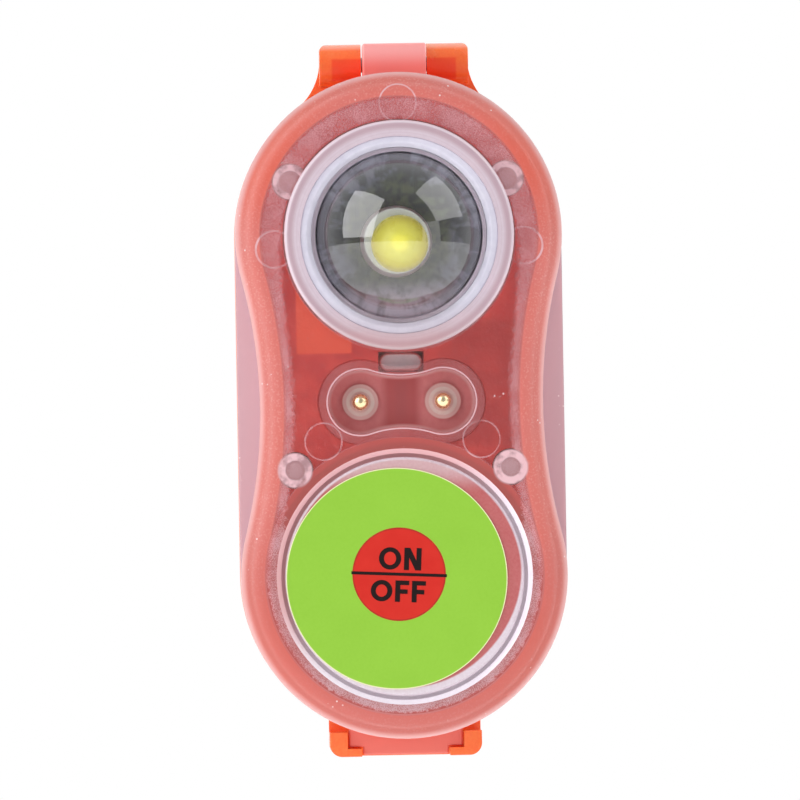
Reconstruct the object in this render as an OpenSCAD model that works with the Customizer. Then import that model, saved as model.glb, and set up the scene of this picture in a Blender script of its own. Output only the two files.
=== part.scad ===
// Personal LED safety light: a sealed two-lobed housing with a clear signal dome, water-sensing
// contacts and a large push button, held on webbing by a hinged clip plate at its back.
// Modelled upright as worn: the front faces -Y, +Z runs up along the housing, and the origin is
// the middle of the flat face at the back of the housing.
// Each module is drawn lying on its back (+Y along the housing, +Z towards the front) and is
// stood up by upright().

/* [Housing outline] */
// Radius of the two round lobes
lobe_r = 17.25; // [15.5:0.25:20]
// Distance of each lobe centre from the middle
lobe_offset = 18; // [16.5:0.25:21]
// Depth of the scallop at each side of the waist
waist_depth = 2.3; // [1.6:0.1:2.8]

/* [Housing depth] */
// Thickness of the housing, from its flat back to its front face
body_depth = 18; // [17:0.5:22]
// Height of the joint between the two covers above the back
seam_height = 5; // [4.5:0.1:6]
// Height of the ledge where the straight skirt gives way to the waisted cap
ledge_height = 11; // [10:0.1:13]
// Radius of the rounded shoulder around the front face
shoulder_r = 2.4; // [1:0.1:3]
// Wall of the covers
cover_wall = 1.3; // [1:0.1:1.5]
// Thickness of the sealing gasket between the covers
gasket_thickness = 0.6; // [0.4:0.1:1]

/* [Signal lens] */
// Outer radius of the collar around the lens
collar_r = 12.15; // [11:0.05:13.5]
// Height of the collar above the front face
collar_height = 2; // [1.5:0.1:3]
// Width of the collar's rim
collar_rim = 1.7; // [1.2:0.1:2]
// Width of the retaining ring around the clear dome
retainer_w = 1.55; // [1.2:0.05:2.5]
// Height of the dome above its flange
dome_height = 7; // [5:0.1:8.8]
// Wall of the dome
dome_wall = 1.4; // [1:0.1:2]
// Thickness of the lens flange
flange_thickness = 1.4; // [1:0.1:1.8]
// Radius of the white LED base
led_base_r = 3; // [2.5:0.05:4]
// Radius of the phosphor cap on the LED
led_cap_r = 2.6; // [1.8:0.05:3]

/* [Water contacts] */
// Distance between the two contact pins
pin_spacing = 8.73; // [7:0.1:10]
// Radius of a contact pin
pin_r = 0.85; // [0.6:0.05:1.1]
// Height of the contacts above the middle of the housing
contact_offset = 0.4; // [0:0.1:0.8]
// Depth of the contact recess below the front face
recess_depth = 2.6; // [1.5:0.1:3]
// Radius of the recess around each contact
recess_lobe_r = 3.4; // [2.9:0.1:3.5]
// Height of the recess between the contacts
recess_mid = 5.4; // [3.5:0.1:5.8]

/* [Push button] */
// Radius of the button well
well_r = 13.05; // [11.5:0.05:13.2]
// Depth of the button well below the front face
well_depth = 2.8; // [2.4:0.1:3.2]
// Gap around the button cap
button_gap = 0.4; // [0.3:0.05:0.8]
// Travel of the button
button_travel = 0.5; // [0.3:0.05:0.6]
// Radius of the hub under the cap
hub_r = 4.2; // [3.2:0.1:5]
// Width of the cap left bare around the printed label
label_margin = 0.95; // [0.9:0.05:3]
// Thickness of the label
label_thickness = 0.15; // [0.1:0.05:0.3]

/* [Circuit board and cells] */
// Thickness of the circuit board
board_thickness = 1.2; // [0.8:0.1:1.6]
// Height of the board's rear face above the housing back
board_height = 9.6; // [9.4:0.1:10]
// Radius of a coin cell
cell_r = 12.25; // [10:0.05:12.25]
// Thickness of a coin cell
cell_thickness = 5; // [3.2:0.1:5]
// Height of the upper posts above the middle
upper_post_y = 23.8; // [21:0.1:24.5]
// Height of the lower posts, below the middle
lower_post_y = 6.7; // [6:0.1:9]
// Distance of each post from the centre line
post_x = 11.4; // [10.5:0.1:11.6]
// Radius of the screw posts
post_r = 1.75; // [1.5:0.05:1.8]
// Radius of the screws in the posts
screw_r = 0.8; // [0.6:0.05:0.9]

/* [Webbing clip] */
// Gap between the housing and the clip plate, for the webbing
webbing_gap = 5.6; // [5.2:0.1:7]
// Thickness of the clip plate
clip_thickness = 2.2; // [1.8:0.1:3]
// Width of the hinge tab at the top
tab_w = 15.8; // [14:0.1:18]
// Reach of the hinge tab past the upper lobe
tab_reach = 3.2; // [2.6:0.1:4]
// Radius of the fillets where the hinge tab leaves the upper lobe
tab_flare = 6.5; // [4:0.1:8]
// Width of the catch at the bottom
catch_w = 16.15; // [15:0.05:18]
// Reach of the catch past the lower lobe
catch_reach = 2; // [1.8:0.1:3]
// Width of the knuckle on the housing
knuckle_w = 6.7; // [5:0.1:8]
// Radius of the hinge pin
hinge_pin_r = 0.8; // [0.6:0.05:1]
// Height of the gripping teeth
tooth_height = 0.8; // [0.5:0.1:1]

/* [Hidden] */
$fn = 96;

fit = 0.15;
running = 0.05;
chassis_wall = 0.8;
chassis_face = 1.1;
seal_section = 0.9;
recess_wall = 1;
arc_overlap = 0.03;
well_wall = 1;
boss_r = 1.9;
hub_groove = 0.6;
post_gap = 0.2;
can_r = 0.95;
can_span = 2.6;
can_height = 2.6;
can_y = 4.6;
strap = 0.2;
strap_w = 5;

// Heights above the housing back.
cavity_top = body_depth - cover_wall;
chassis_top = cavity_top - fit;
well_floor = body_depth - well_depth;
recess_floor = body_depth - recess_depth;
pocket_bottom = recess_floor - cover_wall;
board_top = board_height + board_thickness;
chassis_pan_top = pocket_bottom - fit;
chassis_pan_bottom = chassis_pan_top - 1;
gasket_bottom = seam_height - gasket_thickness;
lip_top = seam_height + 1.4;
chassis_bottom = lip_top;
carrier_bottom = cover_wall;
carrier_top = chassis_bottom - fit;
cell_bottom = carrier_bottom + 1.1;
cell_top = cell_bottom + cell_thickness;

// The lens stack, from the seat under the flange to the top of the dome.
lens_seat = body_depth - 1.4;
flange_bottom = lens_seat + seal_section * 0.75;
flange_top = flange_bottom + flange_thickness;
collar_top = body_depth + collar_height;
collar_bore_r = collar_r - collar_rim;
dome_r = collar_bore_r - retainer_w;
lens_bore_r = dome_r - 0.5;
dome_ball_r = (pow(dome_r, 2) + pow(dome_height, 2)) / (2 * dome_height);
dome_ball_z = flange_top + dome_height - dome_ball_r;
led_top = body_depth - 3.2;
led_base_shift = [-0.15, -0.5];
led_cap_shift = [0.1, -0.75];

// The button stack, from the cap down to the switch.
button_y = -lobe_offset - 0.1;
cap_r = well_r - button_gap;
label_r = cap_r - label_margin;
cap_top = body_depth - 0.35;
cap_bottom = well_floor + button_travel + 0.7;
hub_bottom = well_floor - cover_wall - 0.3;
switch_size = 6;
plunger_r = 1.6;
plunger_stem = 1.5;
plunger_bottom = hub_bottom - running - plunger_stem;
label_shift = [-0.85, -0.2];
centre_r = 4.95;
centre_shift = [-0.6, 0.25];

// Insets from the outer outline of the housing.
chassis_inset = cover_wall + fit;
board_inset = chassis_inset + chassis_wall + 0.2;
lip_inset = cover_wall + 0.1;
lip_wall = 0.9;
carrier_inset = lip_inset + lip_wall + 0.2;

contact_x = pin_spacing / 2;
posts = [for (x = [-post_x, post_x]) for (y = [-lower_post_y, upper_post_y]) [x, y]];
housing_end = lobe_offset + lobe_r;

// The hinge lies behind the housing, in the middle of the webbing gap.
knuckle_r = webbing_gap / 2 - 0.6;
hinge_y = housing_end + tab_reach - knuckle_r;
hinge_z = -webbing_gap / 2;
knuckle_gap = 0.15;
clip_front = -webbing_gap;
clip_back = -webbing_gap - clip_thickness;
catch_arm_w = 1.9;
catch_foot_w = 3.4;
catch_step = catch_reach / 2;
tab_corner_r = 0.7;
catch_corner_r = 1.3;
catch_lug_w = catch_w - 2 * (catch_arm_w + fit);
catch_tip_w = catch_w - 2 * (catch_foot_w + fit);
catch_front = seam_height - 1.5;
catch_lug_front = catch_front - 0.6;

function waist_radius(r, off, d) = (pow(r - d, 2) + off * off - r * r) / (2 * d);
function waist_centre(r, off, d) = r - d + waist_radius(r, off, d);

// Stands a module up from its drawing position.
module upright() {
    rotate([90, 0, 0]) children();
}

// Straight-sided outline with round ends.
module stadium(inset) {
    r = lobe_r - inset;
    for (s = [-1, 1]) translate([0, s * lobe_offset]) circle(r = r);
    square([2 * r, 2 * lobe_offset], center = true);
}

// Half section of a disc with its upper edge rounded.
module rounded_section(r, z0, z1, round) {
    difference() {
        translate([0, z0]) square([r, z1 - z0]);
        if (round > 0) translate([r - round, z1 - round]) difference() {
            square(2 * round);
            circle(r = round);
        }
    }
}

// Two-lobed block with a waist, its front edge rounded.
module waisted(inset, z0, z1, round) {
    x = waist_centre(lobe_r, lobe_offset, waist_depth);
    w = waist_radius(lobe_r, lobe_offset, waist_depth) + inset;
    span = norm([x, lobe_offset]);
    tx = (lobe_r - inset) * x / span;
    ty = lobe_offset - (lobe_r - inset) * lobe_offset / span;
    for (s = [-1, 1]) translate([0, s * lobe_offset, 0])
        rotate_extrude() rounded_section(lobe_r - inset, z0, z1, round);
    difference() {
        translate([0, 0, z0]) linear_extrude(height = z1 - z0)
            polygon([[0, lobe_offset], [tx, ty], [tx, -ty], [0, -lobe_offset], [-tx, -ty], [-tx, ty]]);
        for (s = [-1, 1]) translate([s * x, 0, 0]) rotate_extrude() {
            translate([0, z0 - 1]) square([w, z1 - z0 + 2]);
            if (round > 0) difference() {
                translate([w - 1, z1 - round]) square([round + 1, round + 1]);
                translate([w + round, z1 - round]) circle(r = round);
            }
        }
    }
}

// Ring or disc between two heights.
module ring(r_out, r_in, z0, z1) {
    translate([0, 0, z0]) difference() {
        cylinder(r = r_out, h = z1 - z0);
        if (r_in > 0) translate([0, 0, -1]) cylinder(r = r_in, h = z1 - z0 + 2);
    }
}

module at_lens() {
    translate([0, lobe_offset, 0]) children();
}

module at_button() {
    translate([0, button_y, 0]) children();
}

module at_contacts() {
    for (s = [-1, 1]) translate([s * contact_x, contact_offset, 0]) children();
}

module at_posts() {
    for (p = posts) translate([p[0], p[1], 0]) children();
}

// Outline of the recess around the two contacts, grown outwards by a margin.
module recess_outline(margin) {
    dip = recess_lobe_r - recess_mid / 2;
    y = waist_centre(recess_lobe_r, contact_x, dip);
    w = waist_radius(recess_lobe_r, contact_x, dip) - margin + arc_overlap;
    span = norm([contact_x, y]);
    r = recess_lobe_r + margin;
    tx = contact_x - r * contact_x / span;
    ty = r * y / span;
    translate([0, contact_offset]) {
        for (s = [-1, 1]) translate([s * contact_x, 0]) circle(r = r);
        difference() {
            polygon([[contact_x, 0], [tx, ty], [-tx, ty], [-contact_x, 0], [-tx, -ty], [tx, -ty]]);
            for (s = [-1, 1]) translate([0, s * y]) circle(r = w);
        }
    }
}

module front_cover() {
    color([0.93, 0.66, 0.66, 0.6]) upright() difference() {
        union() {
            difference() {
                union() {
                    waisted(0, seam_height, body_depth, shoulder_r);
                    translate([0, 0, seam_height])
                        linear_extrude(height = ledge_height - seam_height) stadium(0);
                }
                waisted(cover_wall, seam_height - 1, cavity_top, 0.8);
                translate([0, 0, seam_height - 1])
                    linear_extrude(height = ledge_height - cover_wall - seam_height + 1)
                    stadium(cover_wall);
            }
            at_lens() ring(collar_r, 0, lens_seat - 1.2, body_depth);
            at_lens() rotate_extrude() rounded_section(collar_r, body_depth - 1, collar_top, 0.5);
            at_button() ring(well_r + well_wall, 0, well_floor - cover_wall, body_depth - 0.5);
            translate([0, 0, pocket_bottom])
                linear_extrude(height = body_depth - pocket_bottom - 0.5) recess_outline(recess_wall);
            at_contacts() ring(boss_r, 0, pocket_bottom, recess_floor + 0.5);
            at_posts() ring(post_r, 0, board_top, cavity_top + 0.4);
        }
        at_lens() ring(lens_bore_r, 0, lens_seat - 3, collar_top);
        at_lens() ring(collar_bore_r, 0, lens_seat, collar_top + 1);
        at_button() ring(well_r, 0, well_floor, body_depth + 1);
        at_button() ring(hub_r + 0.2, 0, well_floor - 3, well_floor + 1);
        at_button() rotate_extrude() translate([well_r, body_depth - 0.5])
            polygon([[-0.1, 0], [0, 0], [0.6, 0.6], [-0.1, 0.6]]);
        difference() {
            translate([0, 0, recess_floor]) linear_extrude(height = recess_depth + 1) recess_outline(0);
            at_contacts() ring(boss_r, 0, recess_floor - 1, recess_floor + 0.5);
        }
        at_contacts() ring(pin_r, 0, pocket_bottom - 1, body_depth + 1);
        at_posts() ring(screw_r, 0, board_top - 1, cavity_top - 0.6);
    }
}

module rear_cover() {
    color([0.9, 0.8, 0.84, 0.6]) upright() {
        difference() {
            union() {
                linear_extrude(height = gasket_bottom) stadium(0);
                linear_extrude(height = lip_top) stadium(lip_inset);
            }
            translate([0, 0, cover_wall]) linear_extrude(height = lip_top) stadium(lip_inset + lip_wall);
        }
        hinge_lug();
        catch_lug();
    }
}

// Knuckle on the housing, joined to the end of the rear cover by a web.
module hinge_lug() {
    lug_root = housing_end - 3.5;
    difference() {
        union() {
            rotate([0, 90, 0]) translate([-hinge_z, hinge_y, -knuckle_w / 2])
                cylinder(r = knuckle_r, h = knuckle_w);
            translate([-knuckle_w / 2, lug_root, hinge_z])
                cube([knuckle_w, hinge_y - lug_root, -hinge_z]);
            translate([-knuckle_w / 2, housing_end - 1, hinge_z])
                cube([knuckle_w, hinge_y + knuckle_r - housing_end + 1, gasket_bottom - hinge_z]);
        }
        hinge_bore(hinge_pin_r);
    }
}

module hinge_bore(r) {
    rotate([0, 90, 0]) translate([-hinge_z, hinge_y, -tab_w]) cylinder(r = r, h = 2 * tab_w);
}

// Stepped lug under the lower lobe, which the catch of the clip grips.
module catch_lug() {
    difference() {
        union() {
            translate([-catch_lug_w / 2, -housing_end - catch_step + 0.05, 0])
                cube([catch_lug_w, catch_step + lobe_r / 2, catch_lug_front]);
            translate([-catch_tip_w / 2, -housing_end - catch_reach + 0.2, 0])
                cube([catch_tip_w, catch_reach + 1, catch_lug_front]);
        }
        translate([0, -lobe_offset, -1]) cylinder(r = lobe_r - 1, h = catch_lug_front + 2);
    }
}

module body_gasket() {
    color([0.78, 0.5, 0.55]) upright() translate([0, 0, gasket_bottom])
        linear_extrude(height = gasket_thickness) difference() {
            stadium(0.15);
            stadium(lip_inset);
        }
}

// Tinted liner behind the front cover: side wall, front plate and a sunken pan at the waist.
module inner_chassis() {
    pan_w = pin_spacing + 2 * recess_lobe_r + 4.4;
    pan_top = lobe_offset - collar_r + 2;
    pan_bottom = button_y + well_r + 0.4;
    window_w = can_span + 2 * can_r + 2 * fit;
    window_h = 2 * (can_r + fit);
    color([0.85, 0.22, 0.16, 0.8]) upright() difference() {
        union() {
            difference() {
                waisted(chassis_inset, chassis_bottom, chassis_top, 0.9);
                waisted(chassis_inset + chassis_wall, chassis_bottom - 1, chassis_top - chassis_face, 0);
            }
            translate([-pan_w / 2, pan_bottom, chassis_pan_bottom])
                cube([pan_w, pan_top - pan_bottom, chassis_top - chassis_pan_bottom - 0.5]);
        }
        translate([0, 0, chassis_pan_top]) linear_extrude(height = chassis_top) {
            recess_outline(recess_wall + fit);
            translate([0, lobe_offset]) circle(r = collar_r + fit);
            translate([0, button_y]) circle(r = well_r + well_wall + fit);
        }
        at_lens() ring(collar_r - 1.4, 0, chassis_bottom, chassis_top + 1);
        at_button() ring(well_r + well_wall + fit, 0, chassis_pan_bottom - 1, chassis_top + 1);
        at_contacts() ring(boss_r, 0, chassis_bottom, chassis_top);
        at_posts() ring(post_r + post_gap, 0, chassis_bottom - 1, chassis_top + 1);
        translate([-window_w / 2, can_y - window_h / 2, chassis_bottom])
            cube([window_w, window_h, chassis_top]);
    }
}

module lens_dome() {
    color([0.9, 0.95, 1, 0.35]) upright() at_lens() difference() {
        union() {
            ring(collar_bore_r - fit, 0, flange_bottom, flange_top);
            intersection() {
                translate([0, 0, dome_ball_z]) sphere(r = dome_ball_r);
                ring(dome_ball_r + 1, 0, flange_top - 0.2, flange_top + dome_height + 1);
            }
        }
        translate([0, 0, dome_ball_z]) sphere(r = dome_ball_r - dome_wall);
    }
}

module lens_seal() {
    seal_r = collar_bore_r - 0.3;
    color([0.82, 0.8, 0.86]) upright() at_lens()
        ring(seal_r, seal_r - seal_section, lens_seat, flange_bottom);
}

module lens_retainer() {
    inner_r = dome_r + 0.4;
    top = collar_top - 0.2;
    color([0.9, 0.9, 0.97, 0.7]) upright() at_lens() rotate_extrude() difference() {
        translate([inner_r, flange_top]) square([collar_bore_r - inner_r, top - flange_top]);
        translate([inner_r, top]) rotate([0, 0, 45]) square(0.7, center = true);
    }
}

// Board with the outline of the cavity, lying against the screw posts.
module circuit_board() {
    color([0.42, 0.5, 0.22]) upright() difference() {
        union() {
            waisted(board_inset, board_height, board_top, 0);
            at_posts() ring(post_r, 0, board_height, board_top);
        }
        at_posts() ring(screw_r + running, 0, board_height - 1, board_top + 1);
        at_contacts() ring(pin_r, 0, board_height - 1, board_top + 1);
    }
}

module led_base() {
    color([0.88, 0.89, 0.84]) upright() at_lens() translate(led_base_shift)
        ring(led_base_r, 0, board_top, led_top);
}

module led_phosphor_cap() {
    color([0.92, 0.9, 0.37]) upright() at_lens() translate([led_cap_shift[0], led_cap_shift[1], led_top]) intersection() {
        sphere(r = led_cap_r);
        cylinder(r = led_cap_r + 1, h = led_cap_r + 1);
    }
}

// Flat package with a row of leads along two sides.
module chip(x, y, w, h, thickness, leads, z) {
    translate([x, y, z]) {
        translate([-w / 2, -h / 2, 0.1]) cube([w, h, thickness]);
        for (i = [0 : leads - 1]) translate([(i - (leads - 1) / 2) * w / leads - 0.2, -h / 2 - 0.8, 0])
            cube([0.4, h + 1.6, 0.3]);
    }
}

module driver_chip() {
    color([0.13, 0.13, 0.14]) upright() chip(-8.2, 12, 4.9, 3.9, 1.4, 4, board_top);
}

module sense_chip() {
    color([0.13, 0.13, 0.14]) upright() chip(8, 11.4, 3, 1.7, 1.1, 3, board_top);
}

module resonator_can() {
    color([0.86, 0.86, 0.88]) upright() translate([0, can_y, board_top]) {
        for (s = [-1, 1]) translate([s * can_span / 2, 0, 0]) cylinder(r = can_r, h = can_height);
        translate([-can_span / 2, -can_r, 0]) cube([can_span, 2 * can_r, can_height]);
    }
}

module chip_resistors() {
    color([0.16, 0.14, 0.14]) upright() for (x = [-7.4, -5.2, 5.2, 7.4])
        translate([x - 0.6, -5.6, board_top]) cube([1.2, 2, 0.5]);
}

module storage_capacitor() {
    color([0.75, 0.5, 0.2]) upright() translate([7.2, 24.6, board_top])
        translate([-1.75, -1.4, 0]) cube([3.5, 2.8, 1.9]);
}

module coin_cells() {
    color([0.82, 0.82, 0.84]) upright() for (s = [-1, 1]) translate([0, s * lobe_offset, cell_bottom])
        rotate_extrude() {
            square([cell_r, cell_thickness - 0.5]);
            square([cell_r - 1.2, cell_thickness]);
        }
}

// Tray that holds a cell in each lobe.
module cell_carrier() {
    strap_slot = strap_w + 1.4;
    color([0.2, 0.2, 0.22]) upright() difference() {
        translate([0, 0, carrier_bottom]) linear_extrude(height = carrier_top - carrier_bottom)
            stadium(carrier_inset);
        for (s = [-1, 1]) translate([0, s * lobe_offset, 0]) {
            ring(cell_r + fit, 0, cell_bottom, cell_top + 1);
            ring(cell_r - 3, 0, carrier_bottom - 1, cell_bottom + 1);
        }
        translate([-strap_slot / 2, -lobe_offset, carrier_bottom - 1])
            cube([strap_slot, 2 * lobe_offset, cell_bottom - carrier_bottom + 1]);
        translate([-6, -3, cell_bottom + 1]) cube([12, 6, cell_top]);
    }
}

module cell_link_strap() {
    color([0.78, 0.78, 0.76]) upright() translate([-strap_w / 2, -lobe_offset, cell_bottom - strap])
        cube([strap_w, 2 * lobe_offset, strap]);
}

// One sprung tab from each cell up to the board.
module cell_tabs() {
    color([0.78, 0.78, 0.76]) upright() for (s = [-1, 1]) {
        translate([-2, s * 11.5 - 2.5, cell_top]) cube([4, 5, 0.25]);
        translate([-2, s * 9.1 - 0.125, cell_top]) cube([4, 0.25, board_height - cell_top]);
    }
}

module cell_pad() {
    color([0.3, 0.3, 0.32]) upright() for (s = [-1, 1]) translate([0, s * (lobe_offset + 5.5), cell_top])
        translate([-5, -2.5, 0]) cube([10, 5, board_height - cell_top]);
}

module contact_pins() {
    ball_z = body_depth - 1.1;
    color([0.83, 0.64, 0.25]) upright() at_contacts() {
        translate([0, 0, ball_z]) sphere(r = pin_r);
        ring(pin_r, 0, board_height, ball_z);
    }
}

module contact_seals() {
    color([0.75, 0.3, 0.25]) upright() at_contacts()
        ring(boss_r - 0.1, pin_r, chassis_pan_bottom - 0.4, pocket_bottom);
}

module board_screws() {
    color([0.8, 0.8, 0.82]) upright() at_posts() {
        ring(1.5, 0, board_height - 0.9, board_height);
        ring(screw_r, 0, board_height - 0.2, board_top + 4);
    }
}

module button_cap() {
    color([0.88, 0.86, 0.93, 0.8]) upright() at_button() difference() {
        union() {
            rotate_extrude() rounded_section(cap_r, cap_bottom, cap_top, 0.3);
            ring(hub_r, 0, hub_bottom, cap_bottom + 0.3);
        }
        ring(hub_r + 1, hub_r - hub_groove, well_floor - 1, well_floor - 0.2);
    }
}

module button_seal() {
    color([0.75, 0.3, 0.25]) upright() at_button()
        ring(hub_r + fit, hub_r - hub_groove, well_floor - 0.95, well_floor - 0.25);
}

// Soft ring on the floor of the well that stops the cap at the end of its travel.
module button_stop() {
    stop_height = cap_bottom - button_travel - well_floor - running;
    color([0.75, 0.3, 0.25]) upright() at_button()
        ring(cap_r - 1.2, cap_r - 3.2, well_floor, well_floor + stop_height);
}

module button_label() {
    color([0.61, 0.84, 0.24]) upright() at_button() translate([0, 0, cap_top]) difference() {
        translate(label_shift) cylinder(r = label_r, h = label_thickness);
        translate([centre_shift[0], centre_shift[1], -1]) cylinder(r = centre_r, h = label_thickness + 2);
    }
}

module button_centre() {
    color([0.88, 0.19, 0.16]) upright() at_button() translate(centre_shift)
        ring(centre_r, 0, cap_top, cap_top + label_thickness);
}

module switch_body() {
    color([0.15, 0.15, 0.16]) upright() at_button() difference() {
        translate([-switch_size / 2, -switch_size / 2, board_top])
            cube([switch_size, switch_size, hub_bottom - button_travel - 0.2 - board_top]);
        ring(plunger_r + running, 0, board_top + 0.2, hub_bottom);
    }
}

module switch_plunger() {
    color([0.9, 0.88, 0.82]) upright() at_button() ring(plunger_r, 0, plunger_bottom, hub_bottom - running);
}

module hinge_pin() {
    pin_length = tab_w - 0.6;
    color([0.8, 0.8, 0.82]) upright() rotate([0, 90, 0]) translate([-hinge_z, hinge_y, -pin_length / 2])
        cylinder(r = hinge_pin_r, h = pin_length);
}

// Rectangle from y0 down or up to y1, its two corners at y1 rounded.
module rounded_end(w, y0, y1, r) {
    up = sign(y1 - y0);
    for (s = [-1, 1]) translate([s * (w / 2 - r), y1 - up * r]) circle(r = r);
    translate([0, (y0 + y1 - up * r) / 2]) square([w, abs(y1 - y0) - r], center = true);
    translate([0, (y0 + y1) / 2]) square([w - 2 * r, abs(y1 - y0)], center = true);
}

module tab_end() {
    rounded_end(tab_w, lobe_offset, housing_end + tab_reach, tab_corner_r);
}

module catch_end() {
    rounded_end(catch_w, -lobe_offset, -housing_end - catch_reach, catch_corner_r);
}

// Outline of the clip plate: the housing's own outline, a flared tab and the catch.
module clip_outline() {
    reach = lobe_r + tab_flare;
    x = tab_w / 2 + tab_flare;
    y = sqrt(reach * reach - x * x);
    tx = x * lobe_r / reach;
    ty = lobe_offset + y * lobe_r / reach;
    root = lobe_offset + y;
    stadium(0);
    tab_end();
    catch_end();
    difference() {
        polygon([[0, lobe_offset], [tx, ty], [tab_w / 2, root], [-tab_w / 2, root], [-tx, ty]]);
        for (s = [-1, 1]) translate([s * x, root]) circle(r = tab_flare + arc_overlap);
    }
}

module clip_plate() {
    notch_w = knuckle_w + 2 * knuckle_gap;
    color([0.96, 0.4, 0.18, 0.9]) upright() difference() {
        union() {
            translate([0, 0, clip_back]) linear_extrude(height = clip_thickness) clip_outline();
            hinge_ears();
            catch_arms();
            clip_teeth();
        }
        translate([-notch_w / 2, hinge_y - knuckle_r - 0.4, clip_back - 1])
            cube([notch_w, 2 * knuckle_r + 3, 2 * webbing_gap]);
        hinge_bore(hinge_pin_r + running);
    }
}

// Ears that carry the hinge pin, standing up from the top of the clip plate.
module hinge_ears() {
    intersection() {
        union() {
            rotate([0, 90, 0]) translate([-hinge_z, hinge_y, -tab_w / 2])
                cylinder(r = knuckle_r, h = tab_w);
            translate([-tab_w / 2, hinge_y - knuckle_r, clip_front - 0.5])
                cube([tab_w, 2 * knuckle_r, hinge_z - clip_front + 0.5]);
        }
        translate([0, 0, clip_back]) linear_extrude(height = 2 * webbing_gap) tab_end();
    }
}

// Arms and feet that grip both sides of the catch lug.
module catch_arms() {
    arm_bottom = -housing_end - catch_reach;
    arm_z = clip_front - 0.5;
    intersection() {
        for (s = [-1, 1]) translate([s * catch_w / 2, 0, 0]) mirror([s > 0 ? 1 : 0, 0, 0]) {
            translate([0, arm_bottom, arm_z]) cube([catch_arm_w, catch_reach + 0.6, catch_front - arm_z]);
            translate([0, arm_bottom, arm_z])
                cube([catch_foot_w, catch_reach - catch_step - fit, catch_front - arm_z]);
        }
        translate([0, 0, clip_back]) linear_extrude(height = 2 * webbing_gap + clip_thickness) catch_end();
    }
}

// Rows of low teeth that bite into the webbing.
module clip_teeth() {
    tooth_pitch = 4;
    tooth_w = 18;
    rows = floor((lobe_offset + 4) / tooth_pitch);
    for (i = [-rows : rows]) translate([-tooth_w / 2, i * tooth_pitch, clip_front - 0.3])
        rotate([90, 0, 90]) linear_extrude(height = tooth_w)
        polygon([[-0.9, 0], [0.9, 0], [0.3, tooth_height + 0.3], [-0.3, tooth_height + 0.3]]);
}

front_cover();
rear_cover();
body_gasket();
inner_chassis();
lens_dome();
lens_seal();
lens_retainer();
circuit_board();
led_base();
led_phosphor_cap();
driver_chip();
sense_chip();
resonator_can();
chip_resistors();
storage_capacitor();
coin_cells();
cell_carrier();
cell_link_strap();
cell_tabs();
cell_pad();
contact_pins();
contact_seals();
board_screws();
button_cap();
button_seal();
button_stop();
button_label();
button_centre();
switch_body();
switch_plunger();
hinge_pin();
clip_plate();
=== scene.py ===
"""Looks of the LED safety light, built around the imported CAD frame.

Everything is in metres, in the frame's own axes: +Z runs up along the housing, -Y leaves its front face
and +X is to the right seen from the front.
"""

from __future__ import annotations

import logging
import math
from dataclasses import dataclass, field, replace
from enum import Enum
from typing import Sequence

import bmesh
import bpy
from mathutils import Matrix, Vector

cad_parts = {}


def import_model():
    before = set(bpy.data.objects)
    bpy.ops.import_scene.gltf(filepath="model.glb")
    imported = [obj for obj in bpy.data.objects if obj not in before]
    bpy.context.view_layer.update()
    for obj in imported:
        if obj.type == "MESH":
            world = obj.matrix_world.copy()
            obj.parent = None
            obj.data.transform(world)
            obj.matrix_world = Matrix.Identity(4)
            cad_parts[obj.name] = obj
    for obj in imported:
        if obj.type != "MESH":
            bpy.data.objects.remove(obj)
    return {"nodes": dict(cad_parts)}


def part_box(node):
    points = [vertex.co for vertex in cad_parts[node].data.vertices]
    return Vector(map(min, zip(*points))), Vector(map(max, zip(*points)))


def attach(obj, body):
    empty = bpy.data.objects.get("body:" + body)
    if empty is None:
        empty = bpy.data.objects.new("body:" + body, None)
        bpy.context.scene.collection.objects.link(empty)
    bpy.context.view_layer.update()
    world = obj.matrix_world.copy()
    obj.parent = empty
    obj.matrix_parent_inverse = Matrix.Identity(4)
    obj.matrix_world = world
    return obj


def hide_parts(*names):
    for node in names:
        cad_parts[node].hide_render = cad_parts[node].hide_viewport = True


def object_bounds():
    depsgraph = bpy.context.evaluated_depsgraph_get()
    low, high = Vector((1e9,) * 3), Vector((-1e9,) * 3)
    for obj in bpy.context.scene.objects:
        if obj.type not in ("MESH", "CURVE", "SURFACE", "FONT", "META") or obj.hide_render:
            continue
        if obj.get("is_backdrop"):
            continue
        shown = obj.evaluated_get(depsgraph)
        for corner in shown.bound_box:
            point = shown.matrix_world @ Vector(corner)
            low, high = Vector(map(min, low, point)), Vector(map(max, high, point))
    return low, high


logging.basicConfig(level=logging.INFO, format="%(name)s: %(message)s")
LOG = logging.getLogger("safety_light")

MM = 0.001
Colour = tuple[float, float, float]
Point2 = tuple[float, float]

# Sizes in millimetres that no box of the frame gives.
WAIST_DEPTH = 2.3
COLLAR_HEIGHT = 2
RECESS_LOBE_RADIUS = 3.4
RECESS_DIP = 0.7
PIN_RADIUS = 0.85


# ------------------------------------------------------------------------------------------------
# Places that the looks share with the frame


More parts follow.
